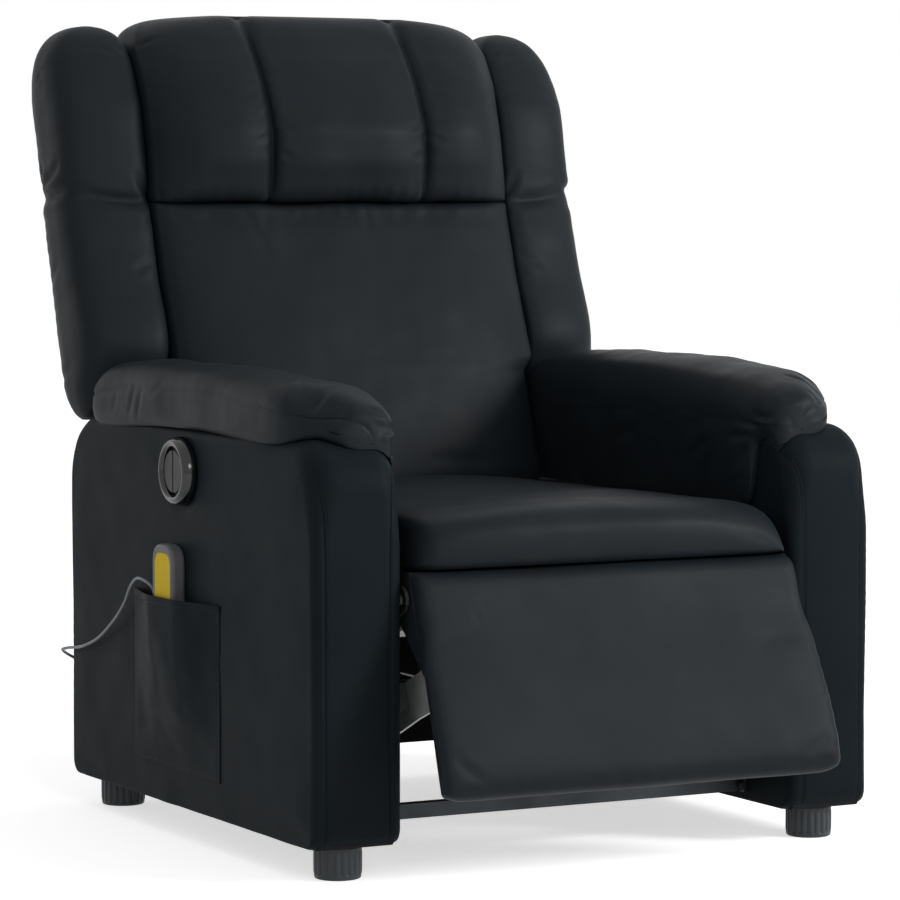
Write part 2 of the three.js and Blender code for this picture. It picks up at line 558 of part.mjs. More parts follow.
add('footrest_board', ontoFootrest(
  box([-FOOTREST_BOARD.halfWidth, FOOTREST_BOARD.halfWidth], [-BOARD_LENGTH / 2, BOARD_LENGTH / 2],
    [FOOTREST_BOARD.rear, FOOTREST_BOARD.front]),
  FOOTREST_BOARD.top + BOARD_LENGTH / 2, 0), TIMBER);
add('footrest_hinge_rod', barX(ROD_RADIUS, [GAP - BETWEEN_ARMS, BETWEEN_ARMS - GAP], HINGE_Y, HINGE_Z), STEEL);

const headDepth = 3;
// A link pin with its head, on the inner side of the front link.
function linkPin(y, z, outer) {
  const headX = LINK_X - RUNNING;
  return join(barX(LINK_PIN_RADIUS, [headX - 1, outer], y, z, 16),
    barX(LINK_PIN_RADIUS + 3, [headX - headDepth, headX], y, z, 16));
}
function footrestBracket() {
  const rear = FOOTREST_BOARD.rear - GAP;
  const flange = ontoFootrest(
    box([FOOTREST_BOARD.halfWidth - 26, FOOTREST_BOARD.halfWidth - 1], [-34, 34], [-PLATE_THICKNESS, 0]),
    BRACKET_ALONG, rear);
  const boss = LINK_PIN_RADIUS + 9;
  const depth = BRACKET_BEHIND + rear; // from the board's rear side to the pivot
  const upper = -37; // upper edge, along from the pivot
  const web = outline([[upper, -1], [16, -1], [boss, -depth], [boss * 0.92, -depth - boss * 0.38],
    [boss * 0.7, -depth - boss * 0.7], [boss * 0.38, -depth - boss * 0.92], [0, -depth - boss], [upper, -depth - boss]]
    .map(([along, ahead]) => onFootrest(BRACKET_ALONG + along, ahead + rear)));
  const plate = plateX(web, [REAR_LINK_X, REAR_LINK_X + PLATE_THICKNESS]);
  return join(flange, plate, linkPin(...LINK_PIVOT, REAR_LINK_X + 1));
}
addPair('footrest_bracket', footrestBracket(), STEEL);

// ---------- torsion tube with its links and crank, front links ----------
function torsionTube() {
  const tube = barX(TUBE_RADIUS, [-REAR_LINK_X - 1, REAR_LINK_X + 1], ...TUBE);
  const stubs = barX(ROD_RADIUS, [GAP - BETWEEN_ARMS, BETWEEN_ARMS - GAP], ...TUBE);
  const rearLink = join(
    plateX(linkShape(TUBE, KNEE, LINK_HALF_HEIGHT), [REAR_LINK_X, REAR_LINK_X + PLATE_THICKNESS]),
    linkPin(...KNEE, REAR_LINK_X + 1));
  const crank = join(
    plateX(linkShape(TUBE, CRANK_PIN, CRANK_PIN_RADIUS + 4), [-PLATE_THICKNESS, PLATE_THICKNESS]),
    barX(CRANK_PIN_RADIUS, [-RAIL_WIDTH / 2, RAIL_WIDTH / 2], ...CRANK_PIN, 16));
  return join(tube, stubs, rearLink, mirrored(rearLink), crank);
}
const CRANK_PIN = [TUBE[0] - CRANK_RADIUS * Math.sin(CRANK_REST_ANGLE), TUBE[1] - CRANK_RADIUS * Math.cos(CRANK_REST_ANGLE)];
add('torsion_tube', torsionTube(), STEEL);

function frontLink() {
  const through = [LINK_X - 5, LINK_OUTER_X + 5];
  return cut(plateX(linkShape(KNEE, LINK_PIVOT, LINK_HALF_HEIGHT), [LINK_X, LINK_OUTER_X]),
    barX(LINK_PIN_RADIUS + RUNNING, through, ...KNEE, 16),
    barX(LINK_PIN_RADIUS + OPEN_PIVOT, through, ...LINK_PIVOT, 16));
}
addPair('front_link', frontLink(), STEEL);

// ---------- actuator ----------
const RAIL_FRONT_Y = FRAME_FRONT_Y + 2;
const GEARBOX = { y: [52, 112], x: [-30, 30], z: [178, 256] };
function actuatorRail() {
  const half = RAIL_WIDTH / 2;
  const bar = box([-half, half], [RAIL_FRONT_Y, GEARBOX.y[0] - GAP], [RAIL_TOP_Z - RAIL_HEIGHT, RAIL_TOP_Z]);
  const hanger = box([-half, half], [RAIL_FRONT_Y, RAIL_FRONT_Y + 7], [RAIL_TOP_Z - 1, FRAME_BOTTOM_Z - GAP]);
  const slot = box([-5, 5], [RAIL_FRONT_Y + 8, GEARBOX.y[0] - 10], [RAIL_TOP_Z - 10, RAIL_TOP_Z + 5]);
  return cut(join(bar, hanger), slot);
}
add('actuator_rail', actuatorRail(), ZINC);

// The carriage is a yoke: the crank's pin stands in its slot, and the crank swings between its cheeks.
const YOKE_Y = TUBE[0] + 19.8;
function actuatorCarriage() {
  const half = RAIL_WIDTH / 2 + 1;
  const y = [YOKE_Y - YOKE_SLOT / 2 - 5, YOKE_Y + YOKE_SLOT / 2 + 5];
  const block = box([-half, half], y, [RAIL_TOP_Z + GAP, RAIL_TOP_Z + 40]);
  const tongue = box([-4.4, 4.4], y, [RAIL_TOP_Z - 9, RAIL_TOP_Z + 2]);
  const slot = box([-half - 1, half + 1], [YOKE_Y - YOKE_SLOT / 2, YOKE_Y + YOKE_SLOT / 2], [RAIL_TOP_Z + 6, RAIL_TOP_Z + 50]);
  const channel = box([-PLATE_THICKNESS - 2, PLATE_THICKNESS + 2], [y[0] - 1, y[1] + 1], [RAIL_TOP_Z + 4, RAIL_TOP_Z + 50]);
  return cut(join(block, tongue), slot, channel);
}
add('actuator_carriage', actuatorCarriage(), BLACK_PLASTIC);

function gearbox() {
  const housing = plateX(roundedRect(GEARBOX.y, GEARBOX.z, evenCorners(8)), GEARBOX.x, 3);
  const arm = box([-12, 12], [GEARBOX.y[1] - 4, FRAME_REAR_Y - 2], [232, 250]);
  const lug = box([-12, 12], [FRAME_REAR_Y - 18, FRAME_REAR_Y - 2], [240, FRAME_BOTTOM_Z - GAP]);
  return join(housing, arm, lug);
}
add('actuator_gearbox', gearbox(), BLACK_PLASTIC);
add('actuator_motor', barX(23, [GEARBOX.x[1] + GAP, GEARBOX.x[1] + 92], (GEARBOX.y[0] + GEARBOX.y[1]) / 2, 216), ZINC);

// ---------- back ----------
const backRear = (z) => BACK_REAR_Y + (z - ARM_TOP_Z) * BACK_SLOPE;
// A strip that follows the rear surface between two distances ahead of it.
function backStrip(ahead, behind, z) {
  return outline([[backRear(z[0]) - ahead, z[0]], [backRear(z[0]) - behind, z[0]],
    [backRear(z[1]) - behind, z[1]], [backRear(z[1]) - ahead, z[1]]]);
}
const BOARD_REAR = BACK_COVER + GAP;
const BOARD_AHEAD = BOARD_REAR + BACK_BOARD;
add('back_board', plateX(backStrip(BOARD_AHEAD, BOARD_REAR, [BACK_BOTTOM_Z, BACK_BOARD_TOP_Z]),
  [-BACK_BOARD_HALF_WIDTH, BACK_BOARD_HALF_WIDTH]), TIMBER);

const COVER_HALF_WIDTH = WING_INNER_X - GAP;
function rearCover() {
  const bend = BACK_BOARD_TOP_Z;
  const top = BACK_COVER_TOP_Z;
  const round = 8; // the cover's top draws forward by this much
  const shape = outline([
    [backRear(BACK_BOTTOM_Z) - BACK_COVER, BACK_BOTTOM_Z], [backRear(BACK_BOTTOM_Z), BACK_BOTTOM_Z],
    [backRear(bend), bend], [backRear((bend + top) / 2) - round * 0.3, (bend + top) / 2],
    [backRear(top) - round, top], [backRear(top) - round - BACK_COVER, top],
    [backRear((bend + top) / 2) - round * 0.3 - BACK_COVER, (bend + top) / 2],
    [backRear(bend) - BACK_COVER, bend],
  ]);
  const wide = plateX(shape, [-COVER_HALF_WIDTH, COVER_HALF_WIDTH]);
  const notches = [-1, 1].map((side) => {
    const edge = side * (BACK_BOARD_HALF_WIDTH + 0.5);
    const away = side * (COVER_HALF_WIDTH + 5);
    const through = [backRear(BACK_BOTTOM_Z) - 74, backRear(WING_BOTTOM_Z) + 63];
    return box([Math.min(edge, away), Math.max(edge, away)], through, [BACK_BOTTOM_Z - 5, WING_BOTTOM_Z - 15]);
  });
  return cut(wide, ...notches);
}
add('back_rear_cover', rearCover(), LEATHER);

function backBracket() {
  const inner = BACK_BOARD_HALF_WIDTH + GAP;
  const low = 300;
  const high = 430;
  const shape = outline([
    ...arc(BACK_PIVOT_Y, BACK_PIVOT_Z, 20, 100, 260), [backRear(low) - BOARD_REAR - 6, low],
    [backRear(high) - BOARD_REAR - 4, high], [backRear(high) - BOARD_AHEAD - 4, high],
  ]);
  const plate = plateX(shape, [inner, inner + PLATE_THICKNESS]);
  return cut(plate, barX(PIVOT_RADIUS + RUNNING, [inner - 5, inner + 10], BACK_PIVOT_Y, BACK_PIVOT_Z));
}
addPair('back_bracket', backBracket(), STEEL);

// Lower cushion: height, front of its sides, crown at the middle, drawn-in width.
const CUSHION_REAR = BOARD_AHEAD + GAP; // both cushions bear on the board
const LOWER_STATIONS = [
  [404, 234, 34, 12], [409, 226, 36, 5], [425, 226, 38, 1], [460, 239, 44, 0], [520, 261, 49, 0],
  [575, 281, 50, 0], [600, 290, 50, 0], [670, 315, 47, 0], [720, 334, 43, 0], [758, 347, 37, 0],
  [780, 356, 29, 1], [790, 362, 20, 4], [HEAD_SEAM_Z - 3, 372, 12, 10],
];
const LOWER_CROWN = [[1, 0.02], [0.985, 0.16], [0.95, 0.38], [0.86, 0.64], [0.72, 0.83], [0.52, 0.94], [0.26, 0.99]];
function lowerRing([z, front, crown, drawn]) {
  const widening = THREE.MathUtils.smoothstep(z, 575, 600);
  const half = THREE.MathUtils.lerp(CUSHION_LOW_HALF_WIDTH, CUSHION_HALF_WIDTH, widening) - drawn;
  const rear = backRear(z) - CUSHION_REAR;
  const at = (x, y) => new THREE.Vector3(x * half, y, z);
  const arch = LOWER_CROWN.map(([x, share]) => [x, front - crown * share]);
  return [
    at(0.97, rear), at(1, rear - 12), ...arch.map(([x, y]) => at(x, y)), at(0, front - crown),
    ...arch.reverse().map(([x, y]) => at(-x, y)), at(-1, rear - 12), at(-0.97, rear),
  ];
}

// Head cushion: height, front at the two sewn channels, front of its sides, how proud the channels'
// cushions stand, drawn-in width, and the rear as a distance ahead of the back's rear surface.
const HEAD_STATIONS = [
  [HEAD_SEAM_Z, 354, 372, 2, 10, 0], [800, 334, 366, 5, 4, 0], [810, 320, 361, 8, 1, 0],
  [830, 309, 361, 12, 0, 0], [855, 305, 366, 14, 0, 0], [885, 306, 371, 14, 0, 0],
  [920, 318, 378, 13, 0, 0], [946, 331, 386, 12, 0, 0], [952, 334, 388, 12, 0, 13],
  [985, 356, 408, 11, 0, 15], [1001, 369, 419, 10, 1, 18], [1006, 373, 423, 10, 2, 14],
  [1022, 385, 439, 8, 8, 22], [1033, 395, 453, 6, 20, 32], [1041, 405, 465, 4, 42, 42],
  [1045, 413, 472, 3, 72, 50], [1048, 425, 477, 2, 110, 58],
];
const HEAD_CHANNEL_X = 115;
const HEAD_CHANNEL_SHARE = HEAD_CHANNEL_X / CUSHION_HALF_WIDTH;
// Across the cushion: place, share of the way from the sides to the channels, share of the bulge.
const HEAD_ACROSS = [
  [1, 0, 0], [0.985, 0.12, 0.05], [0.94, 0.4, 0.35], [0.83, 0.72, 0.85], [0.68, 0.9, 1], [0.54, 0.97, 0.7],
  [0.475, 0.99, 0.25], [HEAD_CHANNEL_SHARE, 1, -0.35], [0.4, 1.01, 0.25], [0.33, 1.03, 0.7], [0.18, 1.06, 1],
];
function headRing([z, channel, side, bulge, drawn, rearShift]) {
  const rear = backRear(z) - (rearShift || CUSHION_REAR);
  // Only what lies outside the channels is drawn in.
  const narrowing = 1 - drawn / (CUSHION_HALF_WIDTH - HEAD_CHANNEL_X);
  const across = (x) => {
    const beyond = Math.max(Math.abs(x) - HEAD_CHANNEL_SHARE, 0) * (1 - narrowing);
    return (x - Math.sign(x) * beyond) * CUSHION_HALF_WIDTH;
  };
  const at = (x, y) => new THREE.Vector3(across(x), Math.min(y, rear - 6), z);
  const front = HEAD_ACROSS.map(([x, share, swell]) => [x, side + (channel - side) * share - bulge * swell]);
  const middle = side + (channel - side) * 1.07 - bulge * 1.05;
  return [
    new THREE.Vector3(across(0.97), rear, z), at(1, Math.max(rear - 14, side + 2)),
    ...front.map(([x, y]) => at(x, y)), at(0, middle),
    ...front.reverse().map(([x, y]) => at(-x, y)),
    at(-1, Math.max(rear - 14, side + 2)), new THREE.Vector3(across(-0.97), rear, z),
  ];
}

const BACK_LEAN = Math.atan(BACK_SLOPE);
// Moves a piece made round the origin, with +Z pointing forward, onto the board's front side.
function ontoBoard(geometry, x, z) {
  const y = backRear(z) - BOARD_AHEAD - GAP;
  return geometry.rotateX(Math.PI / 2 - BACK_LEAN).translate(x, y, z);
}
const backCavities = BACK_MOTORS.map(([x, z]) => ontoBoard(motorCavity(0, 0, 0), x, z));
add('back_cushion', cut(loft(LOWER_STATIONS.map(lowerRing)), ...backCavities), LEATHER);
add('head_cushion', loft(HEAD_STATIONS.map(headRing)), LEATHER);
BACK_MOTORS.forEach(([x, z], i) => add(`back_motor_${i + 1}`, ontoBoard(motorPod(), x, z), MASSAGE_PLASTIC));

// Wings: height over their bottom, front and rear as distances ahead of the rear surface, drawn-in width.
const WING_STATIONS = [
  [0, 55, 28, 16], [6, 69, 21, 9], [16, 86, 15, 4], [30, 96, 10, 1], [52, 103, 6, 0], [94, 121, 0, 0],
  [191, 112, 0, 0], [268, 107, 0, 0], [283, 103, 1, 2], [291, 101, 2, 3], [299, 103, 1, 2], [314, 108, 0, 0],
  [371, 115, 0, 0], [415, 117, 0, 0], [452, 110, 3, 0], [479, 101, 8, 2], [497, 91, 16, 6],
  [509, 80, 27, 14], [518, 66, 42, 26],
];
// The wing's section: share across from the inner side, share forward from the rear.
const WING_SECTION = [
  [0, 0.06], [0.08, 0], [0.5, 0], [0.84, 0], [0.95, 0.06], [1, 0.24], [1, 0.45], [0.985, 0.62], [0.94, 0.77],
  [0.85, 0.88], [0.7, 0.955], [0.5, 1], [0.3, 1.015], [0.13, 1], [0.04, 0.95], [0.01, 0.84], [0, 0.36],
];
function wingRing([height, front, rear, drawn]) {
  const z = WING_BOTTOM_Z + height;
  const [x0, x1] = [WING_INNER_X + drawn, ARM_OUTER_X + WING_PROUD - drawn];
  return WING_SECTION.map(([across, forward]) =>
    new THREE.Vector3(x0 + (x1 - x0) * across, backRear(z) - rear - (front - rear) * forward, z));
}
addPair('back_wing', loft(WING_STATIONS.map(wingRing)), LEATHER);

// ---------- recline switch ----------
const RIGHT_SIDE_X = -ARM_OUTER_X - GAP; // the right arm's outer side
function disc(radius, near, far, sides = 40) {
  return barX(radius, [RIGHT_SIDE_X - far, RIGHT_SIDE_X - near], SWITCH_Y, SWITCH_Z, sides);
}
const SWITCH_WELL = 8; // depth of the buttons' well under the rim
const SWITCH_FLOOR = SWITCH_PROUD - SWITCH_WELL; // thickness of the well's floor
const BUTTON_RADIUS = 27;
const BUTTON_TRAVEL = 3;
const BUTTON_STEM = { radius: 5, y: 13, depth: 3.5 }; // each button is guided by a stem in the well's floor
const stem = (radius, end, x) => barX(radius, x, SWITCH_Y + end * BUTTON_STEM.y, SWITCH_Z, 16);
add('switch_housing', cut(
  join(disc(SWITCH_RADIUS, 0, 3), disc(SWITCH_RADIUS - 2, 2, 10), disc(SWITCH_RADIUS - 4, 9, SWITCH_PROUD)),
  disc(SWITCH_RADIUS - 8, SWITCH_FLOOR, SWITCH_PROUD + 5),
  ...[-1, 1].map((end) =>
    stem(BUTTON_STEM.radius + GAP, end, [RIGHT_SIDE_X - SWITCH_FLOOR - 5, RIGHT_SIDE_X + 5]))), BLACK_PLASTIC);
// Half a disc in front of the switch's middle line or behind it.
function switchButton(end) {
  const middle = SWITCH_Y + end * 0.8;
  const shape = outline(arc(middle, SWITCH_Z, BUTTON_RADIUS, end * 90 - 90, end * 90 + 90, 16)
    .map(([y, z]) => [middle + end * Math.abs(z - SWITCH_Z), SWITCH_Z + (y - middle)]));
  const floor = RIGHT_SIDE_X - SWITCH_FLOOR;
  const under = floor - BUTTON_TRAVEL - GAP;
  return join(plateX(shape, [under - 3.5, under], 1),
    stem(BUTTON_STEM.radius, end, [under - 1, floor + BUTTON_STEM.depth]));
}
add('switch_button_open', switchButton(-1), BLACK_PLASTIC);
add('switch_button_close', switchButton(1), BLACK_PLASTIC);

// ---------- pocket, remote and cord ----------
// How far the pocket's sheet stands off the arm, along Y: it bulges round the remote.
const REMOTE_PROUD = REMOTE.off + REMOTE.thickness;
const REMOTE_REAR = REMOTE.front + REMOTE.width;
const POCKET_PROFILE = [
  [POCKET.front, 2.6], [POCKET.front + 14, 3.6], [-45, 7], [REMOTE.front - 14, 18],
  [REMOTE.front - 6, REMOTE_PROUD + 2], [REMOTE.front + 4, REMOTE_PROUD + 3.6],
  [REMOTE_REAR - 4, REMOTE_PROUD + 3.6], [REMOTE_REAR + 6, REMOTE_PROUD + 1.5], [REMOTE_REAR + 16, 15],
  [96, 7.5], [120, 4.5], [POCKET.rear, 2.6],
];
function pocketPrism(depths, near, z) {
  const outer = depths.map(([y, d]) => new THREE.Vector2(RIGHT_SIDE_X - d, y));
  const shape = new THREE.Shape([new THREE.Vector2(near, depths[0][0]), ...outer,
    new THREE.Vector2(near, depths.at(-1)[0])].reverse());
  return new THREE.ExtrudeGeometry(shape, { depth: z[1] - z[0], bevelEnabled: false }).translate(0, 0, z[0]);
}
function pocket() {
  const inner = [POCKET.front + POCKET.hem, POCKET.rear - POCKET.hem];
  const trimmed = [
    [inner[0], rowAt(POCKET_PROFILE, inner[0])[1]],
    ...POCKET_PROFILE.filter(([y]) => y > inner[0] && y < inner[1]),
    [inner[1], rowAt(POCKET_PROFILE, inner[1])[1]],
  ].map(([y, d]) => [y, d - POCKET.sheet]);
  return cut(pocketPrism(POCKET_PROFILE, RIGHT_SIDE_X, [POCKET.bottom, POCKET.top]),
    pocketPrism(trimmed, RIGHT_SIDE_X + 5, [POCKET.bottom + POCKET.seat, POCKET.top + 5]));
}
add('side_pocket', pocket(), LEATHER);

const REMOTE_BOTTOM = REMOTE.top - REMOTE.length;
const REMOTE_FACE_X = RIGHT_SIDE_X - REMOTE_PROUD;
const FACE_DEPTH = 1.2;
const remoteBody = () => plateX(
  roundedRect([REMOTE.front, REMOTE_REAR], [REMOTE_BOTTOM, REMOTE.top], { bottomFront: 16, bottomRear: 16, topRear: 22, topFront: 22 }),
  [REMOTE_FACE_X, RIGHT_SIDE_X - REMOTE.off], 4, 2);
const faceShape = (grow) => roundedRect(
  [REMOTE.front + 7 - grow, REMOTE_REAR - 10 + grow], [REMOTE_BOTTOM + 14 - grow, REMOTE.top - 11 + grow],
  { bottomFront: 9 + grow, bottomRear: 9 + grow, topRear: 14 + grow, topFront: 14 + grow });
const REMOTE_BUTTON_RADIUS = 6;
const REMOTE_BUTTON_Y = (REMOTE.front + REMOTE_REAR) / 2 - 1.5;
const buttonBar = (radius, x, z) => barX(radius, x, REMOTE_BUTTON_Y, z, 16);
const BUTTON_WELL = 5;
add('remote_case', cut(remoteBody(), plateX(faceShape(GAP), [REMOTE_FACE_X - 5, REMOTE_FACE_X + FACE_DEPTH + GAP]),
  ...REMOTE_BUTTONS.map((z) => buttonBar(REMOTE_BUTTON_RADIUS + GAP, [REMOTE_FACE_X - 5, REMOTE_FACE_X + BUTTON_WELL], z))),
GREY_PLASTIC);
add('remote_face', cut(plateX(faceShape(0), [REMOTE_FACE_X, REMOTE_FACE_X + FACE_DEPTH]),
  ...REMOTE_BUTTONS.map((z) => buttonBar(REMOTE_BUTTON_RADIUS + GAP, [REMOTE_FACE_X - 5, REMOTE_FACE_X + 5], z))),
YELLOW_PLASTIC);
REMOTE_BUTTONS.forEach((z, i) => {
  add(`remote_button_${i + 1}`, buttonBar(REMOTE_BUTTON_RADIUS, [REMOTE_FACE_X - 0.8, REMOTE_FACE_X + BUTTON_WELL - 1.3], z), GREY_PLASTIC);
});

// The strain relief points down out of the case.
const RELIEF_X = RIGHT_SIDE_X - REMOTE.off - REMOTE.thickness / 2;
const RELIEF_Y = REMOTE_REAR - 22;
const RELIEF_LENGTH = 18;
add('remote_strain_relief', new THREE.CylinderGeometry(4.5, 3, RELIEF_LENGTH, 16).rotateX(Math.PI / 2)
  .translate(RELIEF_X, RELIEF_Y, REMOTE_BOTTOM - GAP - RELIEF_LENGTH / 2), GREY_PLASTIC);

// The remote's cord: out of the case, round inside the pocket, up over its edge, along the arm and round
// its rear edge, then hanging behind the chair up to the gland.
const CORD_ROUTE = [
  [RELIEF_X, RELIEF_Y, REMOTE_BOTTOM - RELIEF_LENGTH - 2 * GAP], [RELIEF_X, RELIEF_Y, 208], [-397, 35, 190],
  [-396, 46, 178], [-395, 62, 184], [-394.5, 69, 205], [-394.5, 69, 245], [-394.5, 67, 280], [-395, 67, 300],
  [-396.5, 73, 313], [-399, 90, 320], [-400, 114, 321], [-400, 134, 309], [-399, 153, 289], [-398, 175, 272],
  [-397, 201, 256], [-396, 250, 231], [-396, 307, 214], [-397, 350, 208], [-395, 374, 203],
  [-380, 390, 194], [-345, 398, 176], [-290, 401, 146], [-230, 401, 110], [-165, 401, 84],
  [-105, 401, 76], [-50, 401, 84], [-8, 402, 104], [16, 403, 128], [27, 401, 144], [GLAND.x, 397, GLAND.z],
  [GLAND.x, GLAND_TIP_Y + GAP, GLAND.z],
];
const CORD_STEPS = 78;
function remoteCord() {
  const curve = new THREE.CatmullRomCurve3(CORD_ROUTE.map((p) => new THREE.Vector3(...p)), false, 'centripetal');
  const section = new THREE.Shape(arc(0, 0, CORD_RADIUS, 0, 315, 7).map(([a, b]) => new THREE.Vector2(a, b)));
  return new THREE.ExtrudeGeometry(section, { steps: CORD_STEPS, extrudePath: curve, bevelEnabled: false });
}
add('remote_cord', remoteCord(), CORD_PLASTIC);

chair.position.set(-ORIGIN.x, -ORIGIN.y, 0);
export default chair;
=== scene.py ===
"""A power recliner armchair with massage motors, a side pocket and a corded remote, as it looks.

Shapes are given in millimetres from the middle of the four feet, with +Z up and the chair facing -Y,
and turned into the frame's metres where a mesh is made.
"""
import math

import bpy
import numpy as np
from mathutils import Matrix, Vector


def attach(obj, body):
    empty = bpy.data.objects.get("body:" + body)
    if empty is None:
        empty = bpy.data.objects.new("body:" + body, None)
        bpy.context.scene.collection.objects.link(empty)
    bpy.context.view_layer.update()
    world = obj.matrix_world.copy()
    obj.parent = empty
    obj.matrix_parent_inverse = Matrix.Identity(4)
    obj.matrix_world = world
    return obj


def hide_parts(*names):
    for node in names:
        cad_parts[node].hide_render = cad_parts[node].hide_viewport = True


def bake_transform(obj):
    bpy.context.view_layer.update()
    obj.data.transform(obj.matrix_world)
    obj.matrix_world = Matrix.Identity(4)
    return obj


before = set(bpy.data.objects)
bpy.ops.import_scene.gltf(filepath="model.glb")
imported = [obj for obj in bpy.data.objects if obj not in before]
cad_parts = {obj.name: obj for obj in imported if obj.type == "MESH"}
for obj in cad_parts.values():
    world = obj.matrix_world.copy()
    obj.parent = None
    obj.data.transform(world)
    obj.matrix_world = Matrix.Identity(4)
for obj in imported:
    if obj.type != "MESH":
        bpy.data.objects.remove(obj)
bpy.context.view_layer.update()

SHIFT = np.array([9.7, -13.3, 0.0])  # mm from the frame's origin to the middle of the feet


def metres(points):
    """The frame's metres for millimetres from the middle of the feet."""
    return (np.asarray(points, float) + SHIFT) / 1000.0


# ---------- camera ----------
CAMERA_PLACE = (-2.3842, -4.5027, 0.8188)
CAMERA_TURN, CAMERA_DROP = 27.961, 3.829  # degrees to its right and down
SENSOR_WIDTH, LENS = 36.0, 158.445
CAMERA_REACH = 60.0


def make_camera():
    data = bpy.data.cameras.new("camera")
    camera = bpy.data.objects.new("camera", data)
    bpy.context.collection.objects.link(camera)
    turn, drop = math.radians(CAMERA_TURN), math.radians(CAMERA_DROP)
    look = Vector((math.sin(turn) * math.cos(drop), math.cos(turn) * math.cos(drop), -math.sin(drop)))
    camera.location = CAMERA_PLACE
    camera.rotation_euler = look.to_track_quat("-Z", "Y").to_euler()
    data.sensor_fit = "HORIZONTAL"
    data.sensor_width = SENSOR_WIDTH
    data.lens = LENS
    data.clip_end = CAMERA_REACH
    bpy.context.scene.camera = camera


make_camera()
bpy.context.scene.view_settings.view_transform = "Standard"


# ---------- materials ----------
def shader_node(tree, kind, output, values=None, links=None, **settings):
    """The named output of a new node, given its sockets' values, what feeds them, and its settings."""
    node = tree.nodes.new("ShaderNode" + kind)
    for name, setting in settings.items():
        setattr(node, name, setting)
    for socket, value in (values or {}).items():
        node.inputs[socket].default_value = value
    for socket, source in (links or {}).items():
        tree.links.new(source, node.inputs[socket])
    return node.outputs[output]


class Finish:
    """A node material built round one Principled shader."""

    def __init__(self, name, roughness=0.5, metallic=0.0, specular=0.5):
        self.material = bpy.data.materials.new(name)
        self.material.use_nodes = True
        self.tree = self.material.node_tree
        self.shader = self.tree.nodes["Principled BSDF"]
        self.shader.inputs["Roughness"].default_value = roughness
        self.shader.inputs["Metallic"].default_value = metallic
        self.shader.inputs["Specular IOR Level"].default_value = specular
        self.place = self.node("TexCoord", "Object")
        self.height = None

    def node(self, kind, output, values=None, links=None, **settings):
        return shader_node(self.tree, kind, output, values, links, **settings)

    def stretched(self, scale):
        return self.node("Mapping", "Vector", {"Scale": scale}, {"Vector": self.place})

    def noise(self, scale, detail=3.0, distortion=0.0, at=None):
        values = {"Scale": scale, "Detail": detail, "Distortion": distortion}
        return self.node("TexNoise", "Fac", values, {"Vector": at or self.place})

    def cell_edges(self, scale):
        return self.node("TexVoronoi", "Distance", {"Scale": scale}, {"Vector": self.place},
                         feature="DISTANCE_TO_EDGE")

    def bands(self, scale, direction, distortion):
        values = {"Scale": scale, "Distortion": distortion}
        return self.node("TexWave", "Fac", values, {"Vector": self.place},
                         wave_type="BANDS", bands_direction=direction)

    def ranged(self, value, low, high, start=0.3, end=0.7):
        values = {"From Min": start, "From Max": end, "To Min": low, "To Max": high}
        return self.node("MapRange", "Result", values, {"Value": value})

    def colours(self, value, *stops):
        """Colours the surface by a value, with stops of (value, colour) in rising order."""
        colour = self.node("ValToRGB", "Color", links={"Fac": value})
        ramp = colour.node.color_ramp
        ramp.elements[0].position, ramp.elements[0].color = stops[0][0], (*stops[0][1], 1.0)
        ramp.elements[1].position, ramp.elements[1].color = stops[-1][0], (*stops[-1][1], 1.0)
        for place, shade in stops[1:-1]:
            ramp.elements.new(place).color = (*shade, 1.0)
        self.tree.links.new(colour, self.shader.inputs["Base Color"])

    def rough(self, value, low, high):
        self.tree.links.new(self.ranged(value, low, high), self.shader.inputs["Roughness"])

    def bump(self, value, strength, depth):
        """Adds small relief, depth in metres, on top of the relief added before."""
        links = {"Height": value, "Normal": self.height} if self.height else {"Height": value}
        self.height = self.node("Bump", "Normal", {"Strength": strength, "Distance": depth}, links)
        self.tree.links.new(self.height, self.shader.inputs["Normal"])


def linear(r, g, b):
    """sRGB 0-255 to the linear values that a shader takes."""
    return tuple(((c / 255 + 0.055) / 1.055) ** 2.4 if c > 10 else c / 255 / 12.92 for c in (r, g, b))


def leather(name, dark, light, specular, rough):
    f = Finish(name, specular=specular)
    f.colours(f.noise(9.0, 5.0), (0.25, linear(*dark)), (0.75, linear(*light)))
    f.rough(f.noise(20.0, 5.0), *rough)
    f.bump(f.noise(45.0, 3.0, 0.4), 0.1, 0.0006)
    f.bump(f.noise(230.0, 3.0, 0.8), 0.12, 0.0003)
    f.bump(f.ranged(f.cell_edges(640.0), 0.0, 1.0, 0.0, 0.35), 0.2, 0.00018)
    return f.material


def plastic(name, dark, light, rough=(0.3, 0.42), specular=0.5, grain=0.08):
    f = Finish(name, specular=specular)
    f.colours(f.noise(18.0, 4.0), (0.3, linear(*dark)), (0.7, linear(*light)))
    f.rough(f.noise(60.0, 4.0), *rough)
    f.bump(f.noise(1400.0, 2.0), grain, 0.00012)
    return f.material


def metal(name, dark, light, rough=(0.28, 0.42), along=(30.0, 400.0, 400.0), share=1.0):
    f = Finish(name, metallic=share)
    f.colours(f.noise(25.0, 5.0), (0.3, linear(*dark)), (0.7, linear(*light)))
    f.rough(f.noise(40.0, 4.0), *rough)
    f.bump(f.noise(1.0, 4.0, at=f.stretched(along)), 0.12, 0.0002)
    return f.material


def woven(name, dark, light):
    f = Finish(name, roughness=0.9, specular=0.15)
    f.colours(f.noise(45.0, 5.0), (0.3, linear(*dark)), (0.7, linear(*light)))
    f.bump(f.bands(330.0, "X", 0.6), 0.35, 0.0005)
    f.bump(f.bands(330.0, "Z", 0.6), 0.35, 0.0005)
    f.bump(f.noise(14.0, 3.0), 0.3, 0.003)
    return f.material


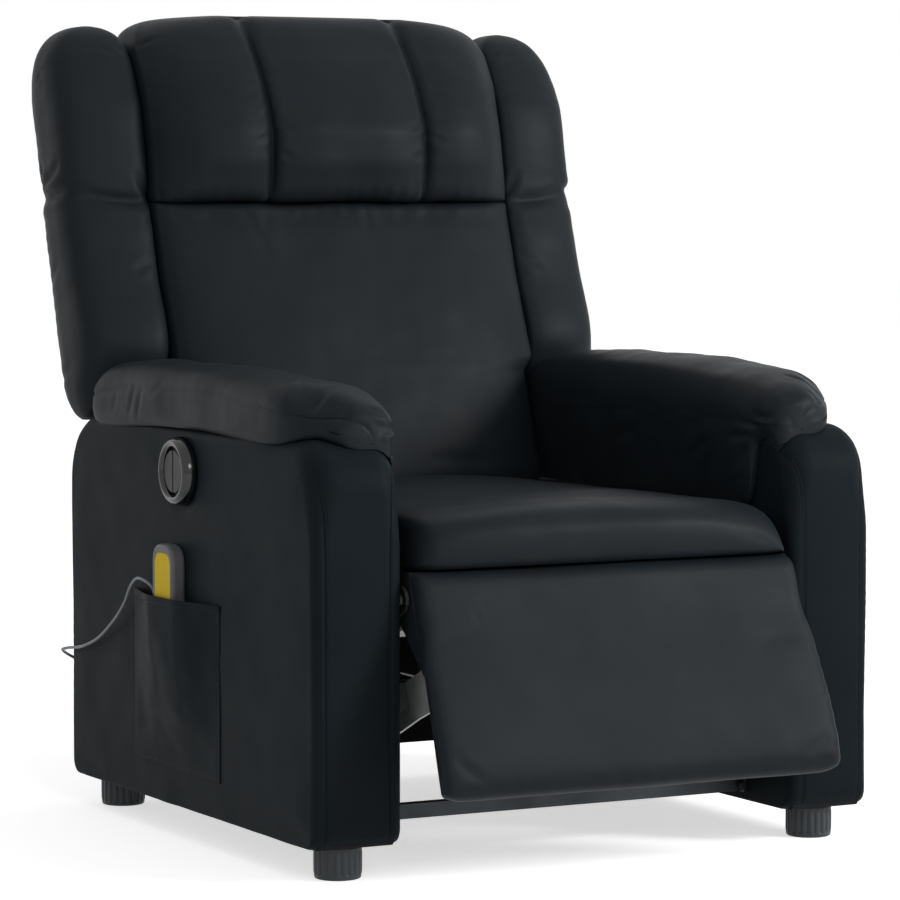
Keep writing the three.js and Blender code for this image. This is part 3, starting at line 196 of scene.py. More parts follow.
def wood(name):
    f = Finish(name, roughness=0.7, specular=0.3)
    grain = f.noise(1.0, 6.0, 0.6, at=f.stretched((9.0, 150.0, 150.0)))
    f.colours(grain, (0.25, linear(126, 92, 56)), (0.5, linear(170, 132, 86)), (0.75, linear(193, 157, 110)))
    f.rough(f.noise(30.0, 4.0), 0.6, 0.78)
    f.bump(grain, 0.25, 0.0006)
    return f.material


# One leather in two copies. The panels' copy, on the arm covers, the rear of the back and the pocket, is a
# little darker with less sheen: painted shade for faces turned from the key lamp. The cushions' copy is a
# little lighter: painted light.
LEATHER = leather("leather_cushions", (24, 29, 33), (28, 33, 37), 0.08, (0.46, 0.52))
LEATHER_SHADED_COPY = leather("leather_panels_painted_shade", (20, 26, 30), (23, 29, 33), 0.03, (0.5, 0.56))
THREAD = plastic("thread", (44, 47, 50), (58, 61, 64), (0.6, 0.75), 0.3, 0.3)
LINING = woven("lining", (20, 21, 23), (30, 31, 34))
TIMBER = wood("timber")
# Bright zinc-grey steel for the links. Its pale colour with only part metal sheen is also painted reflection,
# so that it shows bright in the shaded gap by the footrest.
STEEL = metal("bright_steel_and_painted_reflection", (168, 171, 172), (205, 207, 207), share=0.45)
DARK_STEEL = metal("dark_steel", (56, 59, 62), (64, 67, 70), (0.46, 0.52))
ZINC = metal("zinc_plate", (128, 132, 134), (168, 171, 172), (0.35, 0.5), (200.0, 200.0, 30.0))
BLACK_PLASTIC = plastic("black_plastic", (15, 16, 18), (20, 22, 24), (0.3, 0.42))
GLOSS_PLASTIC = plastic("gloss_plastic", (10, 12, 14), (14, 16, 18), (0.09, 0.14), 0.5, 0.02)
BUTTON_PLASTIC = plastic("button_plastic", (14, 16, 18), (18, 20, 22), (0.3, 0.4), 0.16, 0.05)
FOOT_PLASTIC = plastic("foot_plastic", (44, 48, 51), (52, 57, 60), (0.42, 0.52), 0.3, 0.15)
GREY_PLASTIC = plastic("grey_plastic", (82, 83, 86), (92, 93, 96), (0.42, 0.52), 0.25, 0.15)
YELLOW_PLASTIC = plastic("yellow_plastic", (206, 176, 8), (214, 184, 12), (0.45, 0.55), 0.08, 0.1)
CORD_PLASTIC = plastic("cord_plastic", (92, 97, 102), (112, 118, 123), (0.4, 0.52), 0.4, 0.1)
MASSAGE_PLASTIC = plastic("massage_plastic", (25, 27, 29), (34, 36, 38), (0.5, 0.62))


# ---------- shapes ----------
def hermite(p1, p2, leaving, arriving, t):
    """The place at t, 0 to 1, on a curve from p1 to p2 with the slopes given."""
    return (p1 * (1 + 2 * t) * (1 - t) ** 2 + leaving * t * (1 - t) ** 2
            + p2 * t * t * (3 - 2 * t) + arriving * t * t * (t - 1))


def smooth(keys, values, at):
    """Values at places between the keys, on a curve that never overshoots them."""
    keys, values, at = (np.asarray(v, float) for v in (keys, values, at))
    flat = values.reshape(len(keys), -1)
    gap = np.diff(keys)[:, None]
    slope = np.diff(flat, axis=0) / gap
    turn = np.zeros_like(flat)
    turn[0], turn[-1] = slope[0], slope[-1]
    same = slope[:-1] * slope[1:] > 0
    w1, w2 = 2 * gap[1:] + gap[:-1], gap[1:] + 2 * gap[:-1]
    with np.errstate(all="ignore"):
        mean = (w1 + w2) / (w1 / slope[:-1] + w2 / slope[1:])
    turn[1:-1] = np.where(same, mean, 0.0)
    i = np.clip(np.searchsorted(keys, at, side="right") - 1, 0, len(keys) - 2)
    h = gap[i]
    out = hermite(flat[i], flat[i + 1], turn[i] * h, turn[i + 1] * h, (at - keys[i])[:, None] / h)
    return out.reshape(len(at), *values.shape[1:])


def between(p0, p1, p2, p3, steps):
    """Places from p1 to short of p2 on a smooth curve through four points, or through four rows of them."""
    d01, d12, d23 = (np.sqrt(np.linalg.norm(b - a, axis=-1, keepdims=True)) + 1e-4
                     for a, b in ((p0, p1), (p1, p2), (p2, p3)))
    leaving = (p2 - p1) - d12 * ((p2 - p0) / (d01 + d12) - (p1 - p0) / d01)
    arriving = (p2 - p1) + d12 * ((p3 - p2) / d23 - (p3 - p1) / (d12 + d23))
    return [hermite(p1, p2, leaving, arriving, k / steps) for k in range(steps)]


def closed_curve(points, counts):
    """A smooth closed curve through rows of points (rings, n, 3), with a count of steps for each side."""
    n = points.shape[1]
    out = []
    for j, count in enumerate(counts):
        out += between(*(points[:, (j + k) % n] for k in (-1, 0, 1, 2)), count)
    return np.stack(out, axis=1)


def distances(line):
    """How far along a line each of its points is."""
    return np.concatenate([[0], np.cumsum(np.linalg.norm(np.diff(line, axis=0), axis=1))])


def curve(points, steps=8):
    """An open line of straight pieces drawn smooth."""
    points = np.asarray(points, float)
    if len(points) < 3:
        return np.linspace(points[0], points[-1], steps)
    length = distances(points)
    return smooth(length, points, np.linspace(0, length[-1], steps * (len(points) - 1) + 1))


def ripple(points, size, seed, waves=20):
    """A soft random height over a body, about -1 to 1, with bumps of the size given."""
    rng = np.random.default_rng(seed)
    turn = rng.normal(size=(waves, 3))
    turn /= np.linalg.norm(turn, axis=1)[:, None]
    turn *= (2 * math.pi / size) * rng.uniform(0.6, 1.3, (waves, 1))
    phase = rng.uniform(0, 2 * math.pi, waves)
    return np.cos(points @ turn.T + phase).sum(axis=1) * (1.4 / waves**0.5)


def step(x, low, high):
    """0 below low, 1 above high, and a soft rise between them."""
    t = np.clip((x - low) / (high - low), 0, 1)
    return t * t * (3 - 2 * t)


def hump(x, middle, width):
    """A soft bell of height 1 round the middle."""
    return np.exp(-(((x - middle) / width) ** 2))


def whole(half, *middle):
    """A row of points over the left half, the same in reverse on the right, and what lies between them."""
    return half + list(middle) + [(-x, y, z) for x, y, z in reversed(half)]


def ring_quads(rows, sides, start=0):
    """The faces between closed rings of points that follow one another."""
    i, j = np.meshgrid(np.arange(rows - 1), np.arange(sides), indexing="ij")
    a, b = start + i * sides + j, start + i * sides + (j + 1) % sides
    return np.stack([a, b, b + sides, a + sides], axis=-1).reshape(-1, 4)


def circle(middle, side, up, radius, sides):
    return [middle + radius * (math.cos(a) * side + math.sin(a) * up)
            for a in np.linspace(0, 2 * math.pi, sides, endpoint=False)]


# How far along a stitch its rings lie, as a share of its length, and their share of its radius.
STITCH_RINGS = [(-0.5, 0.25), (-0.42, 0.8), (0.0, 1.0), (0.42, 0.8), (0.5, 0.25)]
STITCH_PITCH, STITCH_RADIUS = 6.0, 0.42
LEATHER_FINISH, THREAD_FINISH = 0, 1


class Skin:
    """A closed soft surface in millimetres that is worked on and then made into a piece."""

    def __init__(self, points, quads, triangles=()):
        self.points = np.asarray(points, float)
        self.quads = np.asarray(quads, int).reshape(-1, 4)
        self.triangles = np.asarray(triangles, int).reshape(-1, 3)
        self.extra = []
        self.snaps = False  # whether creases and seams are first moved onto the skin

    def normals(self):
        p = self.points
        total = np.zeros_like(p)
        q, t = self.quads, self.triangles
        across = np.cross(p[q[:, 2]] - p[q[:, 0]], p[q[:, 3]] - p[q[:, 1]])
        for corner in range(4):
            np.add.at(total, q[:, corner], across)
        if len(t):
            across = np.cross(p[t[:, 1]] - p[t[:, 0]], p[t[:, 2]] - p[t[:, 0]])
            for corner in range(3):
                np.add.at(total, t[:, corner], across)
        return total / (np.linalg.norm(total, axis=1)[:, None] + 1e-12)

    def push(self, amount):
        self.points += self.normals() * np.asarray(amount)[:, None]

    def facing(self, p, normals, count=5, softness=0.5):
        """The way the skin faces near a point, and how far from the point it lies that way."""
        near = np.argpartition(((self.points - p) ** 2).sum(1), count)[:count]
        weight = 1 / (np.linalg.norm(self.points[near] - p, axis=1) + softness)
        weight /= weight.sum()
        up = (normals[near] * weight[:, None]).sum(0)
        up /= np.linalg.norm(up) + 1e-9
        return up, np.dot((self.points[near] * weight[:, None]).sum(0) - p, up)

    def on_skin(self, line, furthest=16):
        """A line's points moved along the skin's normals until they lie in it."""
        if not self.snaps:
            return line
        normals = self.normals()
        out = []
        for p in line:
            up, off = self.facing(p, normals)
            out.append(p + up * np.clip(off, -furthest, furthest))
        return np.array(out)

    def near(self, line, reach):
        """Distance of the points from a line, and how far along it each is, from 0 to 1 and in mm."""
        line = np.asarray(line, float)
        p = self.points
        best = np.full(len(p), 1e6)
        where = np.zeros(len(p))
        low, high = line.min(0) - reach, line.max(0) + reach
        index = np.nonzero(((p > low) & (p < high)).all(axis=1))[0]
        start = 0.0
        for a, b in zip(line[:-1], line[1:]):
            ab = b - a
            length = np.linalg.norm(ab)
            if length < 1e-6:
                continue
            t = np.clip((p[index] - a) @ ab / length**2, 0, 1)
            d = np.linalg.norm(p[index] - a - t[:, None] * ab, axis=1)
            closer = d < best[index]
            best[index[closer]] = d[closer]
            where[index[closer]] = start + t[closer] * length
            start += length
        return best, where / max(start, 1e-6), start

    def crease(self, points, depth, width, rise=0.35):
        """How a fold along a line lowers the skin, with a soft lip beside it."""
        d, t, _ = self.near(self.on_skin(curve(points)), width * 5)
        ends = np.sin(np.clip(t, 0, 1) * math.pi) ** 0.6
        return depth * ends * (rise * hump(d, 2.3 * width, 1.2 * width) - hump(d, 0, width))

    def creases(self, folds):
        return sum(self.crease(*fold) for fold in folds)

    def seam(self, points, depth, width, pucker, pitch, seed, reach=40):
        """How a sewn seam lowers the skin, with small puckers across it."""
        d, t, length = self.near(self.on_skin(curve(points)), reach)
        along = t * length
        phase = np.random.default_rng(seed).uniform(0, 6.3)
        swing = np.cos(2 * math.pi * along / pitch + phase + 2.2 * np.sin(along / 37.0 + phase))
        uneven = 0.55 + 0.45 * np.sin(along / 61.0 + 2 * phase)
        puckers = pucker * swing * uneven * hump(d, 5.0, 9.0)
        return np.where(d < reach - 1, puckers - depth * hump(d, 0, width), 0.0)

    def stitches(self, points, size=4.2, lift=0.25, steps=10):
        """Thread along a line that lies on the skin, as a row of short stitches let into it."""
        line = curve(points, steps)
        length = distances(line)
        places = np.arange(STITCH_PITCH / 2, length[-1], STITCH_PITCH)
        at, ahead, behind = (np.stack([np.interp(places + off, length, line[:, c]) for c in range(3)], axis=1)
                             for off in (0, 1, -1))
        normals = self.normals()
        for p, way in zip(at, ahead - behind):
            up, off = self.facing(p, normals, 4, 0.3)
            spot = p + up * (off + lift)
            way = way - up * np.dot(way, up)
            way /= np.linalg.norm(way) + 1e-9
            side = np.cross(up, way)
            rows = []
            for s, share in STITCH_RINGS:
                middle = spot + way * size * s - up * (STITCH_RADIUS * abs(s))
                rows.append(circle(middle, side, up, STITCH_RADIUS * share, 6))
            self.extra.append((np.array(rows), THREAD_FINISH))

    def welt(self, points, radius, lift):
        """A fine raised edge of folded leather along a line on the skin, thinner at its ends."""
        line = curve(points, 10)
        last = len(line) - 1
        normals = self.normals()
        rows = []
        for k, p in enumerate(line):
            up, off = self.facing(p, normals)
            way = line[min(k + 1, last)] - line[max(k - 1, 0)]
            way = way - up * np.dot(way, up)
            side = np.cross(up, way / (np.linalg.norm(way) + 1e-9))
            rows.append(circle(p + up * (off + lift), side, up, radius * (0.3 if k in (0, last) else 1.0), 8))
        self.extra.append((np.array(rows), LEATHER_FINISH))

    def mirrored(self):
        other = Skin(self.points * [-1, 1, 1], self.quads[:, ::-1], self.triangles[:, ::-1])
        other.extra = [(rows[::-1] * [-1, 1, 1], finish) for rows, finish in self.extra]
        return other

    def mesh(self, name):
        verts = [self.points]
        faces = self.quads.tolist() + self.triangles.tolist()
        finishes = [LEATHER_FINISH] * len(faces)
        start = len(self.points)
        for rows, finish in self.extra:
            count, sides = rows.shape[:2]
            verts.append(rows.reshape(-1, 3))
            faces += ring_quads(count, sides, start).tolist()
            last = start + (count - 1) * sides
            faces += [list(range(start + sides - 1, start - 1, -1)), list(range(last, last + sides))]
            finishes += [finish] * (len(faces) - len(finishes))
            start += count * sides
        mesh = bpy.data.meshes.new(name)
        mesh.from_pydata(metres(np.concatenate(verts)).tolist(), [], faces)
        mesh.shade_smooth()
        mesh.polygons.foreach_set("material_index", finishes)
        mesh.update()
        return mesh

    def piece(self, name, body, node, material, slot="leather", fill=None):
        mesh = self.mesh(name)
        obj = bpy.data.objects.new(name, mesh)
        bpy.context.collection.objects.link(obj)
        mesh.materials.append(material)
        if self.extra:
            mesh.materials.append(THREAD)
        if body:
            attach(obj, body)
        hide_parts(node)
        return obj


def closed_skin(grid):
    """A skin over a grid of rings (rings, n, 3), closed by fans at both ends and facing outward."""
    rows, sides = grid.shape[:2]
    points = np.concatenate([grid.reshape(-1, 3), [grid[0].mean(0)], [grid[-1].mean(0)]])
    j = np.arange(sides)
    following = (j + 1) % sides
    last, count = (rows - 1) * sides, rows * sides
    low = np.stack([following, j, np.full(sides, count)], axis=1)
    high = np.stack([last + j, last + following, np.full(sides, count + 1)], axis=1)
    skin = Skin(points, ring_quads(rows, sides), np.concatenate([low, high]))
    if ((skin.points - points.mean(0)) * skin.normals()).sum() < 0:
        skin.quads, skin.triangles = skin.quads[:, ::-1], skin.triangles[:, ::-1]
    return skin


def lofted(rings, spacing, around, ends=(0.75, 0.4)):
    """A closed fine skin through coarse rings (rings, n, 3), drawn in at both ends by the shares given."""
    rings = np.asarray(rings, float)
    gaps = np.linalg.norm(np.diff(rings, axis=0), axis=2)
    key = np.concatenate([[0], np.cumsum(np.maximum(gaps.mean(1) * 0.5 + gaps.max(1) * 0.5, 0.3))])
    count = max(int(key[-1] / spacing), len(rings))
    rows = smooth(key, rings, np.linspace(0, key[-1], count))
    sides = np.linalg.norm(np.roll(rings, -1, axis=1) - rings, axis=2).max(0)
    grid = closed_curve(rows, [max(int(round(s / around)), 1) for s in sides])
    first, last = ([end.mean(0) + (end - end.mean(0)) * share for share in ends]
                   for end in (grid[0], grid[-1]))
    return closed_skin(np.concatenate([first[::-1], grid, last]))


def both(lines):
    """Lines of the left side, each followed by the same one on the right."""
    return [[(x * side, y, z) for x, y, z in line] for line in lines for side in (1, -1)]


def back_rear(z):
    """Where the leaning back's rear surface lies at a height."""
    return 390 + (z - 520) * 0.27


# ---------- cord ----------
CORD_ROUTE = [
    (-396.55, 32, 217.4), (-396.55, 32, 208), (-397, 35, 190), (-396, 46, 178), (-395, 62, 184),
    (-394.5, 69, 205), (-394.5, 69, 245), (-394.5, 67, 280), (-395, 67, 300), (-396.5, 73, 313),
    (-399, 90, 320), (-400, 114, 321), (-400, 134, 309), (-399, 153, 289), (-398, 175, 272),
    (-397, 201, 256), (-396, 250, 231), (-396, 307, 214), (-397, 350, 208), (-395, 374, 203),
    (-380, 390, 194), (-345, 398, 176), (-290, 401, 146), (-230, 401, 110), (-165, 401, 84),
    (-105, 401, 76), (-50, 401, 84), (-8, 402, 104), (16, 403, 128), (27, 401, 144), (30, 397, 150),
    (30, 392.3, 150),
]
CORD_RADIUS = 2.0
CORD_STEPS = 6


def make_cord():
    points = metres(CORD_ROUTE)
    last = len(points) - 1
    fine = []
    for i in range(last):
        fine += between(*(points[min(max(i + k, 0), last)] for k in (-1, 0, 1, 2)), CORD_STEPS)
    fine.append(points[-1])
    data = bpy.data.curves.new("remote_cord_sheath", "CURVE")
    data.dimensions = "3D"
    data.bevel_depth = CORD_RADIUS / 1000
    data.bevel_resolution = 3
    data.use_fill_caps = True
    spline = data.splines.new("POLY")
    spline.points.add(len(fine) - 1)
    for target, place in zip(spline.points, fine):
        target.co = (*place, 1.0)
    obj = bpy.data.objects.new("remote_cord_sheath", data)
    bpy.context.collection.objects.link(obj)
    data.materials.append(CORD_PLASTIC)
    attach(obj, "frame")
    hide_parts("remote_cord")


make_cord()


# ---------- head cushion ----------
BOARD_AHEAD = 28.6  # the cushions' flat rears lie this far ahead of the back's rear surface
CUSHION_HALF = 266.0
HEAD_SEAM_Z = 797.0
CHANNEL_X = 115.0
CHANNEL_SHARE = CHANNEL_X / CUSHION_HALF
# Height, front at the channels, front of the sides, bulge between channels, how far the sides are drawn in,
# and how far the rear lies ahead of the back's (0: on the board).
HEAD_STATIONS = [
    (795.9, 334, 363, 3, 4, 0), (796.6, 324.5, 359, 5, 2, 0), (799.2, 316.5, 357, 7.5, 0.8, 0),
    (808, 311.5, 358, 10, 0.3, 0), (830, 307.5, 361, 12, 0, 0), (855, 305, 366, 14, 0, 0),
    (885, 306, 371, 14, 0, 0), (920, 318, 378, 13, 0, 0), (946, 331, 386, 12, 0, 0),
    (952, 334, 388, 12, 0, 13), (985, 356, 408, 11, 0, 15), (1001, 369, 419, 10, 1, 18),
    (1006, 373, 423, 10, 2, 14), (1022, 385, 439, 8, 8, 22), (1033, 395, 453, 6, 20, 32),
    (1041, 405, 465, 4, 42, 42), (1045, 413, 472, 3, 72, 50), (1048, 425, 477, 2, 110, 58),
]
# Place across the half width, share of the way from the side's front to the channel's, share of the bulge.
HEAD_ACROSS = [
    (1, 0, 0), (0.985, 0.12, 0.05), (0.94, 0.4, 0.35), (0.83, 0.72, 0.85), (0.68, 0.9, 1),
    (0.54, 0.97, 0.7), (0.475, 0.99, 0.25), (CHANNEL_SHARE, 1, -0.35), (0.4, 1.01, 0.25), (0.33, 1.03, 0.7),
    (0.18, 1.06, 1),
]


def head_ring(z, channel, side, bulge, drawn, ahead):
    rear = back_rear(z) - (ahead or BOARD_AHEAD)

    def at(x, y, least=6):
        beyond = max(x - CHANNEL_SHARE, 0) * drawn / (CUSHION_HALF - CHANNEL_X)
        return ((x - beyond) * CUSHION_HALF, min(y, rear - least), z)

    half = [at(0.97, rear, 0), at(1, max(rear - 14, side + 2))]
    half += [at(x, side + (channel - side) * forward - bulge * swell) for x, forward, swell in HEAD_ACROSS]
    return whole(half, at(0, side + (channel - side) * 1.07 - bulge * 1.05))


def head_cushion():
    skin = lofted([head_ring(*s) for s in HEAD_STATIONS], 4.0, 4.0)
    p = skin.points
    x, z = p[:, 0], p[:, 2]
    forward = step(-skin.normals()[:, 1], -0.45, 0.1) * (1 - step(z, 1012, 1036))
    # The sewn channels, with puckers beside them.
    off = np.abs(np.abs(x) - CHANNEL_X)
    swing = np.cos(2 * math.pi * z / 19 + 1.9 * np.sin(z / 31) + np.sign(x))
    amount = 1.2 * hump(off, 12, 8) - 3.4 * hump(off, 0, 2.7)
    amount += 0.5 * swing * hump(off, 9, 8) * step(z, 800, 860) * (1 - step(z, 940, 1010))
    # Small gathers where the lower edge is sewn.
    gather = np.cos(2 * math.pi * x / 23 + 2.4 * np.sin(x / 41)) * (0.6 + 0.4 * np.sin(x / 57))
    amount += 0.6 * gather * hump(z, 808, 11) + 0.7 * ripple(p, 150, 3) + 0.15 * ripple(p, 46, 4)
    amount *= forward
    skin.points[:, 2] -= 5.0 * hump(off, 0, 11) * step(z, 1005, 1040)
    amount += skin.creases((line, 2.2, 3.6) for line in both([
        [(219, 314, 830), (242, 336, 814), (262, 356, 801)],
        [(203, 316, 819), (228, 330, 809), (256, 354, 800)],
        [(262, 425, 1001), (250, 409, 1008), (236, 402, 1012)],
        [(108, 318, 905), (98, 300, 898), (84, 296, 893)],
        [(122, 316, 886), (134, 302, 880), (146, 302, 876)],
        [(108, 312, 865), (99, 298, 858), (90, 295, 853)],
        [(122, 322, 930), (133, 310, 926), (142, 309, 925)],
    ]))
    skin.push(amount)
    return skin.piece("head_pillow", "back", "head_cushion", LEATHER, fill=0.8)


# ---------- lower back cushion ----------
# Height, front of the sides, how far the middle stands out from it, how far the sides are drawn in.
LOWER_STATIONS = [
    (404, 234, 34, 12), (409, 226, 36, 5), (425, 226, 38, 1), (460, 239, 44, 0), (520, 261, 49, 0),
    (562, 276.5, 50, 0), (575, 281, 50, 0), (587, 285.5, 50, 0), (600, 290, 50, 0), (670, 315, 47, 0),
    (720, 334, 43, 0), (758, 347, 38, 0), (778, 353, 34, 0), (789, 355, 31, 0.5), (793.5, 356.5, 27.5, 1.2),
    (795.5, 361, 21, 3.2),
]
LOWER_CROWN = [(1, 0.02), (0.985, 0.16), (0.95, 0.38), (0.86, 0.64), (0.72, 0.83), (0.52, 0.94), (0.26, 0.99)]


def lower_ring(z, front, crown, drawn):
    half = 250 + 16 * float(step(z, 562, 587)) - drawn
    rear = back_rear(z) - BOARD_AHEAD
    row = [(0.97 * half, rear, z), (half, rear - 12, z)]
    row += [(x * half, front - crown * share, z) for x, share in LOWER_CROWN]
    return whole(row, (0.0, front - crown, z))


def lower_cushion():
    skin = lofted([lower_ring(*s) for s in LOWER_STATIONS], 4.5, 4.5)
    p = skin.points
    x, z = p[:, 0], p[:, 2]
    forward = step(-skin.normals()[:, 1], 0.0, 0.5)
    gather = np.cos(2 * math.pi * x / 27 + 2.6 * np.sin(x / 47 + 1)) * (0.55 + 0.45 * np.sin(x / 71 + 0.7))
    amount = 0.7 * gather * hump(z, 787, 11) * forward
    amount += 0.9 * ripple(p, 190, 11) * forward + 0.15 * ripple(p, 50, 12) * forward
    amount += 0.5 * ripple(p * [1.0, 1.0, 0.35], 75, 13) * forward * step(z, 660, 780)
    amount += skin.creases([
        ([(-163, 345, 794), (-150, 325, 777), (-134, 306, 748), (-122, 298, 725)], 2.0, 7.0),
        ([(-127, 345, 793), (-122, 324, 774), (-121, 309, 752)], 1.6, 5.5),
        ([(25, 352, 793), (28, 330, 782), (33, 310, 757)], 2.6, 4.5),
        ([(123, 356, 793), (121, 334, 784), (120, 320, 772)], 2.4, 3.8),
        ([(186, 356, 793), (185, 339, 785), (182, 326, 772)], 2.4, 3.8),
        ([(-261, 366, 792), (-246, 345, 782), (-222, 326, 764)], 2.6, 5.0),
        ([(-205, 345, 790), (-200, 333, 781), (-196, 322, 769)], 1.4, 5.0),
        ([(70, 352, 793), (66, 331, 783), (64, 318, 768)], 1.6, 4.2),
        ([(235, 356, 792), (232, 344, 783), (228, 334, 768)], 2.0, 4.0),
        ([(-70, 352, 793), (-68, 331, 783), (-71, 318, 768)], 1.6, 4.2),
        ([(262, 352, 745), (247, 332, 730), (232, 322, 722)], 1.6, 6.0),
        ([(-240, 250, 445), (-170, 208, 452), (-90, 194, 447)], 1.6, 8.0),
        ([(240, 252, 452), (160, 206, 446), (60, 193, 452)], 1.6, 8.0),
    ])
    skin.push(amount)
    return skin.piece("back_pillow", "back", "back_cushion", LEATHER, fill=0.7)


# ---------- wings ----------
# Height over the wing's lower end, front and rear ahead of the back's rear, drawn in inside and outside.
WING_STATIONS = [
    (0, 55, 28, 16, 16), (6, 69, 21, 9, 9), (16, 86, 15, 4, 4), (30, 96, 10, 1, 1), (52, 103, 6, 0, 0),
    (94, 121, 0, 0, 0), (191, 112, 0, 0, 0), (268, 107, 0, 0, 0), (283, 103, 1, 0.3, 2),
    (291, 101, 2, 0.3, 3), (299, 103, 1, 0.3, 2), (314, 108, 0, 0, 0), (371, 115, 0, 0, 0),
    (415, 117, 0, 0, 0), (440, 112, 2, 0, 2), (462, 107, 4, 0.5, 6), (481, 100, 8, 2, 11.5),
    (497, 91, 15, 5, 20), (508, 83, 23, 11, 30), (515.5, 74, 32, 20, 42), (520, 66, 41, 31, 55),
    (522, 60, 48, 43, 69),
]
# Share of the width from inside, share of the way from the rear to the front.
WING_SECTION = [
    (0, 0.06), (0.08, 0), (0.5, 0), (0.84, 0), (0.95, 0.06), (1, 0.24), (1, 0.45), (0.985, 0.62),
    (0.94, 0.77), (0.85, 0.88), (0.7, 0.955), (0.5, 1), (0.3, 1.015), (0.13, 1), (0.04, 0.95), (0.01, 0.84),
    (0, 0.36),
]
WING_BOTTOM, WING_INNER, WING_OUTER = 509.0, 268.0, 390.0


def wing_ring(height, front, rear, inner_drawn, outer_drawn):
    z = WING_BOTTOM + height
    x0, x1 = WING_INNER + inner_drawn, WING_OUTER - outer_drawn
    base = back_rear(z)
    return [(x0 + (x1 - x0) * a, base - rear - (front - rear) * f, z) for a, f in WING_SECTION]


def wing(side, name):
    skin = lofted([wing_ring(*s) for s in WING_STATIONS], 4.5, 4.5)
    p = skin.points
    outward = step(p[:, 0], 300, 345)
    amount = 0.6 * ripple(p, 170, 21 + side) + 0.15 * ripple(p, 45, 23 + side) * outward
    amount += 0.5 * ripple(p * [1.0, 1.0, 3.0], 130, 25 + side) * hump(p[:, 2], 805, 50)
    amount += skin.creases([
        ([(384, 458, 797), (388, 440, 800), (388, 412, 805), (381, 392, 811), (366, 374, 815)], 5.0, 6.0),
        ([(389, 444, 815), (390, 428, 826), (388, 411, 836), (385, 399, 848)], 3.2, 5.0),
        ([(386, 460, 812), (389, 452, 830), (389, 446, 850)], 2.2, 5.0),
        ([(270, 386, 797), (278, 368, 812), (291, 362, 838)], 3.0, 5.0),
        ([(272, 380, 792), (300, 362, 797), (330, 362, 801), (362, 374, 809)], 3.6, 6.0),
        ([(271, 372, 780), (280, 356, 768), (288, 350, 750)], 2.0, 4.5),
        ([(278, 336, 719), (292, 331, 713), (308, 327, 706)], 1.6, 5.0),
        ([(294, 427, 1004), (284, 425, 998), (274, 425, 992)], 2.4, 3.4),
        ([(390, 468, 984), (387, 455, 989), (380, 440, 994)], 2.0, 4.0),
        ([(386, 470, 962), (388, 455, 966)], 1.6, 4.0),
        ([(292, 420, 994), (303, 421, 999), (318, 426, 1002)], 1.8, 4.0),
        ([(388, 425, 690), (389, 408, 700), (386, 392, 712)], 1.6, 5.0),
        ([(384, 390, 560), (386, 372, 566), (383, 352, 578)], 2.0, 5.0),
    ])
    # The seam where the side panel meets the rear.
    for seed, heights in ((31, (545, 600, 700, 790)), (32, (815, 880, 940, 975))):
        amount += skin.seam([(386, back_rear(z) - 14, z) for z in heights], 1.6, 2.2, 0.3, 17, seed)
    skin.push(amount)
    if side < 0:
        skin = skin.mirrored()
    return skin.piece(f"wing_{name}", "back", f"back_wing_{name}", LEATHER, fill=0.8)


# ---------- rear of the back ----------
# Height, and how far the rear is drawn in there.
COVER_STATIONS = [
    (276, 3.5), (278, 1.2), (283, 0.3), (330, 0), (420, 0), (480, 0), (492, 0), (497, 0), (560, 0),
    (700, 0), (850, 0), (944, 0), (972, 2.4), (990, 5.5), (998, 8.5), (1000, 11),
]
# Share of the half width, and how far the rear lies back from the plane there.
COVER_REAR = [(0.3, 0), (0.6, 0), (0.9, 0), (0.975, 0), (0.995, -0.7), (1, -2.2)]
COVER_FRONT = [0.998, 0.975, 0.9, 0.6, 0.3]
COVER_SEAM_X = 243.0
COVER_HEIGHTS = (290.0, 420.0, 560.0, 700.0, 850.0, 950.0, 985.0)


def cover_ring(z, pull):
    half = 255.9 + 11.6 * float(step(z, 492, 497))  # narrower where it lies between the arms
    rear = back_rear(z) - pull
    front = min(back_rear(z) - 8 - min(pull, 8), rear - 1.5)
    row = [(x * half, rear + off, z) for x, off in COVER_REAR]
    return whole(row + [(x * half, front, z) for x in COVER_FRONT])


def rear_cover():
    skin = lofted([cover_ring(*s) for s in COVER_STATIONS], 6.0, 6.5, (0.98, 0.9))
    p = skin.points
    behind = step(skin.normals()[:, 1], 0.1, 0.7)
    puff = 1 - np.clip(np.abs(p[:, 0]) / 262, 0, 1) ** 4
    tall = step(p[:, 2], 390, 540) * np.clip((1000 - p[:, 2]) / 40, 0, 1)
    amount = 5.0 * puff * tall * behind + 0.9 * ripple(p, 190, 41) * behind * tall
    amount += 0.25 * ripple(p * [1, 1, 0.3], 40, 42) * behind * tall
    cross = [(x, back_rear(HEAD_SEAM_Z) + 4, HEAD_SEAM_Z) for x in (-262, -130, 0, 130, 262)]
    amount += skin.seam(cross, 2.6, 2.6, 0.8, 19, 43) * behind
    for seed, x in ((44, -COVER_SEAM_X), (45, COVER_SEAM_X)):
        down = [(x, back_rear(z) + 1.0, z) for z in COVER_HEIGHTS]
        amount += skin.seam(down, 1.6, 2.4, 0.0, 16, seed) * behind
    skin.push(amount)
    for x in (5 - COVER_SEAM_X, COVER_SEAM_X - 5):
        skin.stitches([(x, back_rear(z) + 4, z) for z in COVER_HEIGHTS])
    z = HEAD_SEAM_Z - 6
    skin.stitches([(x, back_rear(z) + 5, z) for x in (-255, -130, 0, 130, 255)])
    return skin.piece("rear_of_back", "back", "back_rear_cover", LEATHER_SHADED_COPY, fill=0.5)


# ---------- seat ----------
SEAT_BOTTOM = 348.6
SEAT_HALF = 252.8
